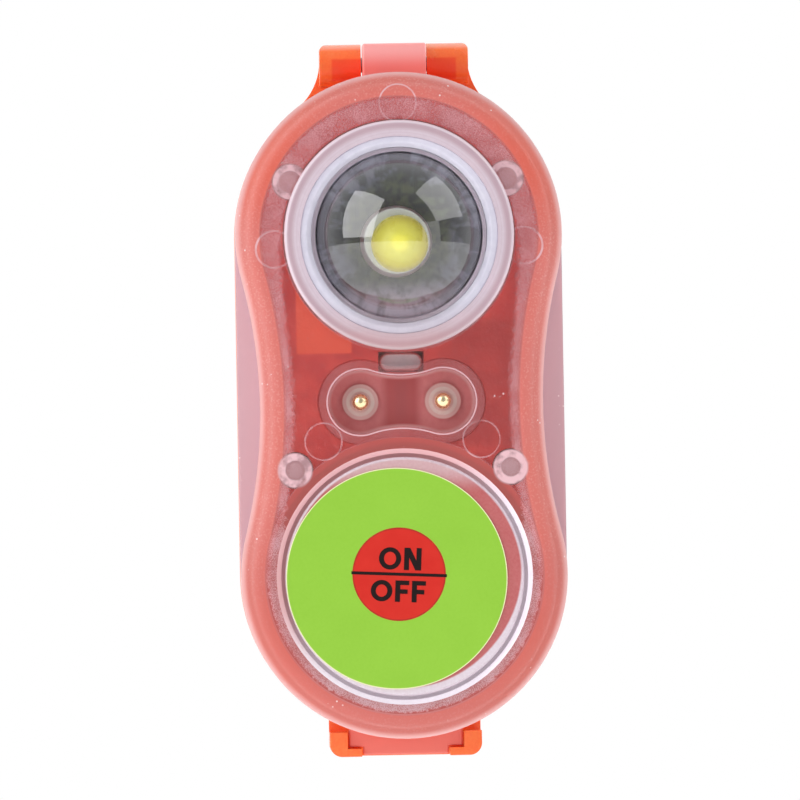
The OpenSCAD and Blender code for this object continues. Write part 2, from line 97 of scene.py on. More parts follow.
@dataclass(frozen=True)
class Waisted:
    """A two-lobed outline with hollow arcs between its lobes, in millimetres.

    Attributes:
        middle: Z of its middle.
        radius: Radius of each lobe.
        offset: Distance from the middle to each lobe's centre.
        depth: How far the waist is narrower than the lobes, on each side.
    """

    middle: float
    radius: float
    offset: float
    depth: float

    @property
    def hollow_radius(self) -> float:
        """Radius of the hollow arcs, which meet the lobes smoothly."""
        return ((self.radius - self.depth) ** 2 + self.offset**2 - self.radius**2) / (2 * self.depth)

    @property
    def hollow_centre(self) -> float:
        """Distance from the outline's long axis to the centre of a hollow arc."""
        return self.radius - self.depth + self.hollow_radius

    def inset(self, across: float, along: float) -> float:
        """Measures how far a point lies inside the outline.

        Args:
            across: Distance from the long axis.
            along: Distance from the middle, along the long axis.

        Returns:
            The distance to the outline, positive inside.
        """
        side, height = abs(across), abs(along)
        if side * self.offset / self.hollow_centre + height > self.offset:
            return self.radius - math.hypot(side, height - self.offset)
        return math.hypot(side - self.hollow_centre, height) - self.hollow_radius


@dataclass(frozen=True)
class Layout:
    """Centres and levels of the housing's features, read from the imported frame.

    Attributes:
        lens: Centre of the lens in the X-Z plane.
        button: Centre of the button cap in the X-Z plane.
        label: Centre of the green label in the X-Z plane.
        disc: Centre of the red disc inside the label in the X-Z plane.
        body: Outline of the housing.
        tub: Outline of the recess around the contact pins.
        face_y: Y of the housing's front face.
        label_y: Y of the front of the label.
    """

    lens: Vector
    button: Vector
    label: Vector
    disc: Vector
    body: Waisted
    tub: Waisted
    face_y: float
    label_y: float

    @classmethod
    def from_frame(cls) -> Layout:
        """Reads every place from the boxes of the CAD nodes.

        Returns:
            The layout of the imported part.
        """
        cover_low, cover_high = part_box("front_cover")
        radius = cover_high.x / MM
        pins = centre_of("contact_pins")
        pins_low, pins_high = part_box("contact_pins")
        pin_reach = (pins_high.x - pins_low.x) / 2 / MM - PIN_RADIUS
        return cls(
            lens=centre_of("lens_retainer"),
            button=centre_of("button_cap"),
            label=centre_of("button_label"),
            disc=centre_of("button_centre"),
            body=Waisted(0.0, radius, cover_high.z / MM - radius, WAIST_DEPTH),
            tub=Waisted(pins.z / MM, RECESS_LOBE_RADIUS, pin_reach, RECESS_DIP),
            face_y=cover_low.y + COLLAR_HEIGHT * MM,
            label_y=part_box("button_label")[0].y,
        )


def centre_of(node: str) -> Vector:
    """Finds the middle of a CAD node's box.

    Args:
        node: Name of the CAD node.

    Returns:
        The middle of its box, in the row frame.
    """
    low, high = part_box(node)
    return (low + high) / 2


# ------------------------------------------------------------------------------------------------
# Shader graphs


@dataclass
class Graph:
    """A thin helper over one node tree, so that materials read as short formulas.

    Attributes:
        tree: The node tree being built.
    """

    tree: bpy.types.NodeTree

    def add(self, kind: str, **settings: object) -> bpy.types.Node:
        """Adds a node and sets its own properties.

        Args:
            kind: Blender's node class name.
            **settings: Properties of the node.

        Returns:
            The new node.
        """
        node = self.tree.nodes.new(kind)
        for name, value in settings.items():
            setattr(node, name, value)
        return node

    def feed(self, socket: bpy.types.NodeSocket, value: object) -> None:
        """Links a socket to an output, or sets its default.

        Args:
            socket: The input to feed.
            value: An output socket, a number or a colour.
        """
        if isinstance(value, bpy.types.NodeSocket):
            self.tree.links.new(value, socket)
        elif socket.type == "RGBA":
            socket.default_value = (*value, 1.0)
        else:
            socket.default_value = value

    def math(self, operation: str, first: object, second: object = 0.0) -> bpy.types.NodeSocket:
        """Adds a math node.

        Args:
            operation: Blender's operation name.
            first: First value or socket.
            second: Second value or socket.

        Returns:
            The result's socket.
        """
        node = self.add("ShaderNodeMath", operation=operation)
        self.feed(node.inputs[0], first)
        self.feed(node.inputs[1], second)
        return node.outputs[0]

    def times(self, first: object, second: object) -> bpy.types.NodeSocket:
        """Multiplies two values."""
        return self.math("MULTIPLY", first, second)

    def plus(self, first: object, second: object) -> bpy.types.NodeSocket:
        """Adds two values."""
        return self.math("ADD", first, second)

    def minus(self, first: object, second: object) -> bpy.types.NodeSocket:
        """Subtracts the second value from the first."""
        return self.math("SUBTRACT", first, second)

    def larger(self, first: object, second: object) -> bpy.types.NodeSocket:
        """Gives the larger of two values."""
        return self.math("MAXIMUM", first, second)

    def distance(self, x: object, z: object, centre_x: object, centre_z: object) -> bpy.types.NodeSocket:
        """Measures how far a point of the X-Z plane is from a centre, in the unit that it is given in.

        Args:
            x: X of the point.
            z: Z of the point.
            centre_x: X of the centre.
            centre_z: Z of the centre.

        Returns:
            The distance's socket.
        """
        dx, dz = self.minus(x, centre_x), self.minus(z, centre_z)
        return self.math("SQRT", self.plus(self.times(dx, dx), self.times(dz, dz)))

    def mask(self, value: object, low: float, high: float) -> bpy.types.NodeSocket:
        """Rises smoothly from 0 at low to 1 at high, or falls if high is the smaller.

        Args:
            value: The value to compare.
            low: Where the mask is 0.
            high: Where the mask is 1.

        Returns:
            The mask's socket.
        """
        node = self.add("ShaderNodeMapRange", interpolation_type="SMOOTHSTEP")
        start, stop, low_out = (low, high, 0.0) if low < high else (high, low, 1.0)
        self.feed(node.inputs["Value"], value)
        self.feed(node.inputs["From Min"], start)
        self.feed(node.inputs["From Max"], stop)
        self.feed(node.inputs["To Min"], low_out)
        self.feed(node.inputs["To Max"], 1.0 - low_out)
        return node.outputs["Result"]

    def band(self, value: object, low: float, high: float, soft: float) -> bpy.types.NodeSocket:
        """Makes a mask that is 1 between low and high, with soft edges.

        Args:
            value: The value to compare.
            low: Lower edge of the band.
            high: Upper edge of the band.
            soft: Width of each edge.

        Returns:
            The mask's socket.
        """
        rise = self.mask(value, low - soft / 2, low + soft / 2)
        fall = self.mask(value, high + soft / 2, high - soft / 2)
        return self.times(rise, fall)

    def scale(self, value: object, low: float, high: float) -> bpy.types.NodeSocket:
        """Maps 0..1 to low..high.

        Args:
            value: A mask.
            low: Result at 0.
            high: Result at 1.

        Returns:
            The mapped socket.
        """
        node = self.add("ShaderNodeMapRange")
        self.feed(node.inputs["Value"], value)
        self.feed(node.inputs["To Min"], low)
        self.feed(node.inputs["To Max"], high)
        return node.outputs["Result"]

    def blend(self, factor: object, first: object, second: object) -> bpy.types.NodeSocket:
        """Mixes two colours.

        Args:
            factor: 0 gives first, 1 gives second.
            first: Colour or socket.
            second: Colour or socket.

        Returns:
            The mixed colour's socket.
        """
        node = self.add("ShaderNodeMix", data_type="RGBA")
        self.feed(node.inputs["Factor"], factor)
        self.feed(node.inputs[6], first)
        self.feed(node.inputs[7], second)
        return node.outputs[2]

    def place(self) -> bpy.types.NodeSocket:
        """Gives the point being shaded, in the row frame, in metres.

        Returns:
            The object coordinates' socket.
        """
        return self.add("ShaderNodeTexCoord").outputs["Object"]

    def noise(self, place: object, size_mm: float, detail: float = 3.0) -> bpy.types.NodeSocket:
        """Adds a noise with features of a given size.

        Args:
            place: Coordinates, in metres.
            size_mm: Size of the noise's features.
            detail: Octaves of finer detail.

        Returns:
            The noise's value, 0 to 1.
        """
        node = self.add("ShaderNodeTexNoise")
        self.feed(node.inputs["Vector"], place)
        self.feed(node.inputs["Scale"], 1.0 / (size_mm * MM))
        self.feed(node.inputs["Detail"], detail)
        return node.outputs["Fac"]

    def bump(self, height: object, depth_mm: float, strength: float = 1.0) -> bpy.types.NodeSocket:
        """Turns a height into a normal.

        Args:
            height: The height, 0 to 1.
            depth_mm: What a height of 1 stands for.
            strength: Share of the effect.

        Returns:
            The normal's socket.
        """
        node = self.add("ShaderNodeBump")
        self.feed(node.inputs["Height"], height)
        self.feed(node.inputs["Distance"], depth_mm * MM)
        self.feed(node.inputs["Strength"], strength)
        return node.outputs["Normal"]

    def use(self, group: bpy.types.NodeTree, **inputs: object) -> bpy.types.Node:
        """Adds a node group and feeds its named inputs.

        Args:
            group: The node group.
            **inputs: Values by socket name, with underscores for spaces.

        Returns:
            The group's node.
        """
        node = self.add("ShaderNodeGroup")
        node.node_tree = group
        for name, value in inputs.items():
            self.feed(node.inputs[name.replace("_", " ")], value)
        return node


@dataclass(frozen=True)
class Effects:
    """The node groups that several materials share.

    Attributes:
        inset: Distance inside the housing's two-lobed outline.
        tub: Distance inside the contact recess's two-lobed outline.
        mark: Thin ring about a point of the face.
        reach: Distances from the lens and the button in the X-Z plane.
        grain: Fine moulded grain, as a value and a normal.
        wear: Sparse dust specks and rubbed patches.
    """

    inset: bpy.types.NodeTree
    tub: bpy.types.NodeTree
    mark: bpy.types.NodeTree
    reach: bpy.types.NodeTree
    grain: bpy.types.NodeTree
    wear: bpy.types.NodeTree


def new_group(
    name: str, inputs: Sequence[tuple[str, float]], outputs: Sequence[tuple[str, str]]
) -> tuple[Graph, bpy.types.Node, bpy.types.Node]:
    """Makes an empty node group with named sockets.

    Args:
        name: Name of the group.
        inputs: Names and defaults of its float inputs.
        outputs: Names and socket types of its outputs.

    Returns:
        The graph, its input node and its output node.
    """
    tree = bpy.data.node_groups.new(name, "ShaderNodeTree")
    for label, default in inputs:
        socket = tree.interface.new_socket(label, in_out="INPUT", socket_type="NodeSocketFloat")
        socket.default_value = default
    for label, kind in outputs:
        tree.interface.new_socket(label, in_out="OUTPUT", socket_type=kind)
    graph = Graph(tree)
    return graph, graph.add("NodeGroupInput"), graph.add("NodeGroupOutput")


@dataclass
class EffectLibrary:
    """Builds the shared node groups from the layout.

    Attributes:
        layout: Places of the housing's features.
    """

    layout: Layout

    def build(self) -> Effects:
        """Builds every shared group.

        Returns:
            The groups.
        """
        effects = Effects(
            inset=self._waisted("Housing Inset", self.layout.body, upright=True),
            tub=self._waisted("Recess Inset", self.layout.tub, upright=False),
            mark=self._mark(),
            reach=self._reach(),
            grain=self._grain(),
            wear=self._wear(),
        )
        LOG.info("shared effects: inset, recess, mark, reach, grain, wear")
        return effects

    def _flat(self, graph: Graph) -> tuple[bpy.types.NodeSocket, ...]:
        """X, Y and Z of the shaded point, in millimetres.

        Args:
            graph: The graph to add to.

        Returns:
            The three sockets.
        """
        split = graph.add("ShaderNodeSeparateXYZ")
        graph.feed(split.inputs[0], graph.place())
        return tuple(graph.times(split.outputs[i], 1 / MM) for i in range(3))

    def _waisted(self, name: str, shape: Waisted, upright: bool) -> bpy.types.NodeTree:
        """Inset from a waisted outline: two lobes with a hollow arc between them.

        Args:
            name: Name of the group.
            shape: The outline.
            upright: Whether its long axis is Z, not X.

        Returns:
            The group, with an Inset output in millimetres.
        """
        graph, _, leave = new_group(name, [], [("Inset", "NodeSocketFloat")])
        x, _, z = self._flat(graph)
        z = graph.minus(z, shape.middle)
        across, along = (x, z) if upright else (z, x)
        side, height = graph.math("ABSOLUTE", across), graph.math("ABSOLUTE", along)
        to_lobe = graph.distance(side, height, 0.0, shape.offset)
        lobe = graph.minus(shape.radius, to_lobe)
        arc = graph.distance(side, height, shape.hollow_centre, 0.0)
        hollow = graph.minus(arc, shape.hollow_radius)
        # The line from the hollow's centre to the lobe's splits the two regions.
        slope = graph.times(side, shape.offset / shape.hollow_centre)
        in_lobe = graph.math("GREATER_THAN", graph.plus(slope, height), shape.offset)
        gap = graph.minus(lobe, hollow)
        graph.feed(leave.inputs["Inset"], graph.plus(hollow, graph.times(gap, in_lobe)))
        return graph.tree

    def _mark(self) -> bpy.types.NodeTree:
        """Ring of a given radius and width about a point, with slightly uneven strength.

        Returns:
            The group, with Ring and Disc outputs.
        """
        inputs = [("Centre X", 0.0), ("Centre Z", 0.0), ("Radius", 1.9), ("Width", 0.3)]
        outputs = [("Ring", "NodeSocketFloat"), ("Disc", "NodeSocketFloat")]
        graph, entry, leave = new_group("Ring Mark", inputs, outputs)
        x, _, z = self._flat(graph)
        distance = graph.distance(x, z, entry.outputs["Centre X"], entry.outputs["Centre Z"])
        outside = graph.minus(distance, entry.outputs["Radius"])
        away = graph.math("ABSOLUTE", outside)
        share = graph.math("DIVIDE", away, entry.outputs["Width"])
        patchy = graph.scale(graph.mask(graph.noise(graph.place(), 1.1, 3.0), 0.3, 0.6), 0.55, 1.0)
        graph.feed(leave.inputs["Ring"], graph.times(graph.mask(share, 0.75, 0.35), patchy))
        graph.feed(leave.inputs["Disc"], graph.mask(outside, 0.1, -0.1))
        return graph.tree

    def _reach(self) -> bpy.types.NodeTree:
        """Distances from the lens axis and the button axis, and the place in millimetres.

        Returns:
            The group.
        """
        outputs = [(name, "NodeSocketFloat") for name in ("Lens", "Button", "X", "Depth", "Z")]
        graph, _, leave = new_group("Feature Reach", [], outputs)
        x, y, z = self._flat(graph)
        lens, button = self.layout.lens, self.layout.button
        graph.feed(leave.inputs["Lens"], graph.distance(x, z, lens.x / MM, lens.z / MM))
        graph.feed(leave.inputs["Button"], graph.distance(x, z, button.x / MM, button.z / MM))
        graph.feed(leave.inputs["X"], x)
        graph.feed(leave.inputs["Depth"], graph.times(y, -1.0))
        graph.feed(leave.inputs["Z"], z)
        return graph.tree

    def _grain(self) -> bpy.types.NodeTree:
        """Fine grain of a moulded surface: a value and a normal.

        Returns:
            The group.
        """
        inputs = [("Size", 0.25), ("Depth", 0.02)]
        outputs = [("Value", "NodeSocketFloat"), ("Normal", "NodeSocketVector")]
        graph, entry, leave = new_group("Mould Grain", inputs, outputs)
        place = graph.place()
        noise = graph.add("ShaderNodeTexNoise")
        graph.feed(noise.inputs["Vector"], place)
        graph.feed(noise.inputs["Scale"], graph.math("DIVIDE", 1 / MM, entry.outputs["Size"]))
        graph.feed(noise.inputs["Detail"], 4.0)
        broad = graph.noise(place, 2.6, 2.0)
        fine = graph.times(noise.outputs["Fac"], 0.7)
        value = graph.plus(fine, graph.times(broad, 0.3))
        graph.feed(leave.inputs["Value"], value)
        bump = graph.add("ShaderNodeBump")
        graph.feed(bump.inputs["Height"], value)
        graph.feed(bump.inputs["Distance"], graph.times(entry.outputs["Depth"], MM))
        graph.feed(leave.inputs["Normal"], bump.outputs["Normal"])
        return graph.tree

    def _wear(self) -> bpy.types.NodeTree:
        """Small dust specks and faint rubbed patches.

        Returns:
            The group, with Specks and Rubs outputs.
        """
        outputs = [("Specks", "NodeSocketFloat"), ("Rubs", "NodeSocketFloat")]
        graph, entry, leave = new_group("Surface Wear", [("Speck Size", 0.9)], outputs)
        place = graph.place()
        cells = graph.add("ShaderNodeTexVoronoi")
        graph.feed(cells.inputs["Vector"], place)
        graph.feed(cells.inputs["Scale"], graph.math("DIVIDE", 1 / MM, entry.outputs["Speck Size"]))
        near = graph.mask(cells.outputs["Distance"], 0.16, 0.08)
        sparse = graph.mask(graph.noise(place, 3.0, 2.0), 0.58, 0.66)
        graph.feed(leave.inputs["Specks"], graph.times(near, sparse))
        stretched = graph.add("ShaderNodeMapping")
        graph.feed(stretched.inputs["Vector"], place)
        stretched.inputs["Scale"].default_value = (1.0, 1.0, 0.25)
        graph.feed(leave.inputs["Rubs"], graph.mask(graph.noise(stretched.outputs[0], 4.0, 5.0), 0.52, 0.72))
        return graph.tree


# ------------------------------------------------------------------------------------------------
# Materials


class Finish(Enum):
    """Every material of the light."""

    COVER = "clear_cover"
    FROST = "frosted_cover"
    RIM = "clear_rim"
    WELL = "well_wall"
    RECESS = "recess_wall"
    BASE = "frosted_base"
    LINER = "red_liner"
    CLIP = "orange_clip"
    LENS = "clear_lens"
    RETAINER = "pale_retainer"
    SEAL = "seal_rubber"
    SOFT_SEAL = "soft_seal"
    BOARD = "circuit_board"
    LED_BASE = "led_white"
    PHOSPHOR = "led_phosphor"
    CHIP = "chip_black"
    CAN = "silver_can"
    CAPACITOR = "capacitor_tan"
    CELL = "cell_steel"
    CARRIER = "carrier_plastic"
    NICKEL = "nickel_strip"
    FOAM = "foam"
    GOLD = "gold_pin"
    SCREW = "screw_steel"
    CAP = "button_plastic"
    GREEN = "label_green"
    RED = "label_red"
    INK = "label_ink"
    SWITCH = "switch_plastic"
    PLUNGER = "plunger_plastic"


@dataclass(frozen=True)
class Look:
    """Numbers of a simple finish.

    Attributes:
        dark: Darker of its two colours.
        light: Lighter of its two colours.
        smooth: Lowest roughness.
        rough: Highest roughness.
        grain_mm: Size of its grain.
        bump_mm: Depth of its grain.
        sheen: Level of its mirror reflection.
    """

    dark: Colour
    light: Colour
    smooth: float
    rough: float
    grain_mm: float = 0.3
    bump_mm: float = 0.01
    sheen: float = 0.5


@dataclass(frozen=True)
class FaceMark:
    """A ring seen in the front face, in millimetres.

    Attributes:
        x: X of its centre.
        z: Z of its centre.
        radius: Radius of the ring.
        width: Width of the ring's soft line.
        strength: How opaque it is.
        fill: How opaque the disc inside it is.
    """

    x: float
    z: float
    radius: float
    width: float
    strength: float
    fill: float = 0.0


def mirrored(mark: FaceMark) -> tuple[FaceMark, FaceMark]:
    """Gives a mark and its twin across the centre line.

    Args:
        mark: The mark on the right.

    Returns:
        The left mark and the right one.
    """
    return replace(mark, x=-mark.x), mark


FACE_MARKS: tuple[FaceMark, ...] = (
    *mirrored(FaceMark(11.4, -6.7, 1.40, 0.80, 0.92, 0.50)),
    *mirrored(FaceMark(11.4, 23.8, 1.50, 0.70, 0.85, 0.60)),
    *mirrored(FaceMark(8.35, -3.7, 1.95, 0.16, 0.35)),
    *mirrored(FaceMark(13.2, 16.7, 1.95, 0.20, 0.30)),
    FaceMark(0.1, 32.0, 1.95, 0.14, 0.40),
)


@dataclass(frozen=True)
class Recipe:
    """What every finish knows when it dresses a material.

    Attributes:
        effects: The shared node groups.
        layout: Places of the housing's features.
    """

    effects: Effects
    layout: Layout

    def dress(self, graph: Graph, shader: bpy.types.Node) -> None:
        """Builds the shader's inputs. Each finish gives its own.

        Args:
            graph: The material's node tree.
            shader: Its Principled shader.
        """
        raise NotImplementedError

    def surface(
        self, graph: Graph, shader: bpy.types.Node, colour: object, roughness: object, normal: object
    ) -> None:
        """Feeds the inputs that every finish sets.

        Args:
            graph: The material's node tree.
            shader: Its Principled shader.
            colour: The base colour.
            roughness: The roughness.
            normal: The normal.
        """
        graph.feed(shader.inputs["Base Color"], colour)
        graph.feed(shader.inputs["Roughness"], roughness)
        graph.feed(shader.inputs["Normal"], normal)

    def painted_glow(self, graph: Graph, shader: bpy.types.Node, colour: object, strength: float) -> None:
        """Paints light into a part: a faint emission of its own colour stands in for light let through the
        plastic from behind.

        Args:
            graph: The material's node tree.
            shader: Its Principled shader.
            colour: The colour.
            strength: How strongly.
        """
        graph.feed(shader.inputs["Emission Color"], colour)
        shader.inputs["Emission Strength"].default_value = strength

    def see_through(self, shader: bpy.types.Node, transmission: float, ior: float = 1.49) -> None:
        """Sets the plain numbers of a see-through plastic.

        Args:
            shader: The Principled shader.
            transmission: Share of light let through.
            ior: Refractive index.
        """
        shader.inputs["Transmission Weight"].default_value = transmission
        shader.inputs["IOR"].default_value = ior


@dataclass(frozen=True)
class ClearCover(Recipe):
    """Clear, very slightly pink plastic of the front cover."""

    def dress(self, graph: Graph, shader: bpy.types.Node) -> None:
        """Builds the shader's inputs.

        Args:
            graph: The material's node tree.
            shader: Its Principled shader.
        """
        grain = graph.use(self.effects.grain, Size=0.5, Depth=0.008)
        colour = graph.blend(grain.outputs["Value"], (0.96, 0.90, 0.90), (0.99, 0.97, 0.97))
        roughness = graph.scale(grain.outputs["Value"], 0.10, 0.22)
        self.surface(graph, shader, colour, roughness, grain.outputs["Normal"])
        self.see_through(shader, 1.0)


@dataclass(frozen=True)
class FrostedSkin(Recipe):
    """Frosted skin: dense on the shoulder, grainy on the band, almost clear on the face."""

    def dress(self, graph: Graph, shader: bpy.types.Node) -> None:
        """Builds the shader's inputs.

        Args:
            graph: The material's node tree.
            shader: Its Principled shader.
        """
        inset = graph.use(self.effects.inset).outputs["Inset"]
        reach = graph.use(self.effects.reach)
        place = graph.place()
        grain = graph.use(self.effects.grain, Size=0.10, Depth=0.010)
        coarse, broad = graph.noise(place, 0.5, 5.0), graph.noise(place, 6.0, 2.0)
        ragged = graph.plus(inset, graph.times(graph.minus(coarse, 0.5), 1.1))
        speckle = graph.mask(grain.outputs["Value"], 0.38, 0.62)
        middle = graph.mask(graph.math("ABSOLUTE", reach.outputs["Z"]), 21.0, 8.0)
        band = graph.band(graph.plus(ragged, graph.times(middle, 1.5)), 2.6, 5.0, 0.8)
        shoulder = graph.mask(inset, 2.9, 2.35)
        frost = graph.blend(speckle, (0.66, 0.26, 0.27), (0.76, 0.40, 0.43))
        frost = graph.blend(graph.mask(reach.outputs["Z"], -24.0, -34.0), frost, (0.74, 0.46, 0.49))
        salmon = graph.blend(broad, (0.76, 0.185, 0.140), (0.73, 0.215, 0.190))
        fine = graph.mask(graph.noise(place, 0.22, 4.0), 0.50, 0.68)
        salmon = graph.blend(graph.times(fine, 0.22), salmon, (0.92, 0.55, 0.52))
        flank = graph.mask(graph.math("ABSOLUTE", reach.outputs["X"]), 5.0, 14.0)
        ends = graph.mask(graph.math("ABSOLUTE", reach.outputs["Z"]), 17.0, 25.0)
        warm = graph.times(graph.times(flank, ends), graph.scale(broad, 0.35, 1.0))
        salmon = graph.blend(warm, salmon, (0.80, 0.135, 0.080))
        # Painted shade: the salmon shoulder turns darker towards the bottom.
        low = graph.times(graph.mask(reach.outputs["Z"], -9.0, -22.0), 0.68)
        salmon = graph.blend(low, salmon, (0.64, 0.150, 0.125))
        colour = graph.blend(shoulder, frost, salmon)
        # Painted reflection: a pale pink line along the outer edge of the shoulder.
        colour = graph.blend(graph.mask(inset, 0.7, 0.05), colour, (0.86, 0.42, 0.40))
        ledge = graph.mask(reach.outputs["Depth"], 11.6, 11.3)
        colour = graph.blend(ledge, colour, (0.72, 0.47, 0.52))
        clear = graph.scale(graph.mask(coarse, 0.45, 0.8), 0.0, 0.08)
        density = graph.larger(clear, graph.times(band, graph.scale(speckle, 0.38, 0.62)))
        top = graph.mask(reach.outputs["Z"], 25.0, 33.0)
        haze = graph.times(top, graph.mask(ragged, 6.2, 3.0))
        haze = graph.times(haze, graph.scale(coarse, 0.10, 0.60))
        density = graph.larger(density, haze)
        density = graph.larger(density, graph.times(shoulder, 0.80))
        density = graph.larger(density, graph.times(ledge, 0.90))
        walls = self._walls(graph, reach)
        # Darker red where the walls stand under the face: the walls seen through the skin, and painted shade
        # just outside the well wall.
        walls_and_shade = graph.times(walls, graph.mask(density, 0.6, 0.3))
        colour = graph.blend(walls_and_shade, colour, (0.50, 0.105, 0.095))
        density = graph.larger(density, graph.times(walls, 0.70))
        rings, pale = self._marks(graph)
        colour = graph.blend(graph.times(rings, 0.9), colour, (0.86, 0.56, 0.60))
        density = graph.larger(density, pale)
        specks = graph.use(self.effects.wear, Speck_Size=0.8).outputs["Specks"]
        colour = graph.blend(specks, colour, (0.95, 0.80, 0.80))
        density = graph.larger(density, graph.times(specks, 0.6))
        graph.feed(shader.inputs["Base Color"], colour)
        graph.feed(shader.inputs["Alpha"], density)
        graph.feed(shader.inputs["Roughness"], graph.scale(speckle, 0.30, 0.48))
        graph.feed(shader.inputs["Normal"], grain.outputs["Normal"])

    def _walls(self, graph: Graph, reach: bpy.types.Node) -> bpy.types.NodeSocket:
        """Finds where the walls of the collar, the well and the recess stand under the face, and the painted
        shade just outside the well wall.

        Args:
            graph: The material's node tree.
            reach: The distances' group node.

        Returns:
            A mask of the walls.
        """
        tub = graph.use(self.effects.tub).outputs["Inset"]
        well = graph.band(reach.outputs["Button"], 13.1, 14.8, 0.3)
        collar = graph.times(graph.band(reach.outputs["Lens"], 12.0, 12.4, 0.15), 0.55)
        tub = graph.times(graph.band(tub, -1.00, 0.1, 0.3), 0.4)
        return graph.larger(graph.larger(collar, tub), well)

    def _marks(self, graph: Graph) -> tuple[bpy.types.NodeSocket, bpy.types.NodeSocket]:
        """Gathers the rings over the screw posts, the ejector circles and the recess's edge.

        Args:
            graph: The material's node tree.

        Returns:
            A mask of the rings, and how opaque the skin is there.
        """
        rings: object = 0.0
        pale: object = 0.0
        for mark in FACE_MARKS:
            node = graph.use(
                self.effects.mark, Centre_X=mark.x, Centre_Z=mark.z, Radius=mark.radius, Width=mark.width
            )
            rings = graph.larger(rings, node.outputs["Ring"])
            pale = graph.larger(pale, graph.times(node.outputs["Ring"], mark.strength))
            if mark.fill > 0:
                rings = graph.larger(rings, graph.times(node.outputs["Disc"], 0.28))
                pale = graph.larger(pale, graph.times(node.outputs["Disc"], mark.fill))
        tub = graph.use(self.effects.tub).outputs["Inset"]
        edge = graph.band(tub, -0.22, -0.04, 0.10)
        pale = graph.larger(pale, graph.times(edge, 0.75))
        return graph.larger(rings, edge), pale


@dataclass(frozen=True)
class LensCollar(Recipe):
    """Thick clear collar with a milky, faintly pink body."""

    def dress(self, graph: Graph, shader: bpy.types.Node) -> None:
        """Builds the shader's inputs.

        Args:
            graph: The material's node tree.
            shader: Its Principled shader.
        """
        reach = graph.use(self.effects.reach)
        grain = graph.use(self.effects.grain, Size=0.5, Depth=0.01)
        lens = reach.outputs["Lens"]
        pale = graph.blend(grain.outputs["Value"], (0.72, 0.58, 0.66), (0.86, 0.73, 0.81))
        colour = graph.blend(graph.mask(lens, 11.0, 11.5), pale, (0.62, 0.44, 0.50))
        colour = graph.blend(graph.mask(lens, 11.75, 12.0), colour, (0.90, 0.76, 0.83))
        lines = graph.math("SINE", graph.times(lens, 21.0))
        turned = graph.times(graph.mask(lines, 0.5, 1.0), 0.35)
        colour = graph.blend(turned, colour, (0.70, 0.50, 0.58))
        # Painted shade: the collar turns darker towards the bottom.
        lower = graph.times(graph.mask(reach.outputs["Z"], 12.0, 5.0), 0.65)
        colour = graph.blend(lower, colour, (0.50, 0.34, 0.34))
        roughness = graph.scale(grain.outputs["Value"], 0.16, 0.30)
        self.surface(graph, shader, colour, roughness, grain.outputs["Normal"])
        # Painted light: a faint glow brightens the collar.
        self.painted_glow(graph, shader, colour, 0.10)
        self.see_through(shader, 0.3)


@dataclass(frozen=True)
class ButtonWell(Recipe):
    """Bright wall of the button well, lit up by a painted glow."""

    def dress(self, graph: Graph, shader: bpy.types.Node) -> None:
        """Builds the shader's inputs.

        Args:
            graph: The material's node tree.
            shader: Its Principled shader.
        """
        grain = graph.use(self.effects.grain, Size=0.4, Depth=0.01)
        colour = graph.blend(grain.outputs["Value"], (0.74, 0.64, 0.72), (0.90, 0.85, 0.92))
        reach = graph.use(self.effects.reach)
        upper = graph.plus(reach.outputs["Z"], graph.times(reach.outputs["X"], -0.8))
        colour = graph.blend(graph.mask(upper, -22.0, -8.0), colour, (0.72, 0.40, 0.42))
        roughness = graph.scale(grain.outputs["Value"], 0.12, 0.25)
        self.surface(graph, shader, colour, roughness, grain.outputs["Normal"])
        # Painted light: a glow makes the well wall shine bright.
        self.painted_glow(graph, shader, colour, 0.22)
        self.see_through(shader, 0.15)


@dataclass(frozen=True)
class ContactRecess(Recipe):
    """Glossy tub around the contact pins, with paler bosses."""

    def dress(self, graph: Graph, shader: bpy.types.Node) -> None:
        """Builds the shader's inputs.

        Args:
            graph: The material's node tree.
            shader: Its Principled shader.
        """
        grain = graph.use(self.effects.grain, Size=0.6, Depth=0.012)
        colour = graph.blend(grain.outputs["Value"], (0.64, 0.21, 0.21), (0.80, 0.33, 0.33))
        # Painted shade: darker red in the narrow middle of the recess, between the pins.
        across = graph.math("ABSOLUTE", graph.use(self.effects.reach).outputs["X"])
        colour = graph.blend(graph.mask(across, 2.6, 1.2), colour, (0.50, 0.13, 0.13))
        tub = graph.use(self.effects.tub).outputs["Inset"]
        colour = graph.blend(graph.mask(tub, 0.45, 0.1), colour, (0.86, 0.50, 0.50))
        for side in (-1, 1):
            pin = {"Centre_X": side * self.layout.tub.offset, "Centre_Z": self.layout.tub.middle}
            boss = graph.use(self.effects.mark, **pin, Radius=1.9).outputs["Disc"]
            colour = graph.blend(graph.times(boss, 0.7), colour, (0.92, 0.60, 0.56))
            collar = graph.use(self.effects.mark, **pin, Radius=1.3, Width=0.35).outputs["Ring"]
            colour = graph.blend(graph.times(collar, 0.6), colour, (0.98, 0.84, 0.78))
        roughness = graph.scale(grain.outputs["Value"], 0.06, 0.16)
        self.surface(graph, shader, colour, roughness, grain.outputs["Normal"])
        self.see_through(shader, 0.35)


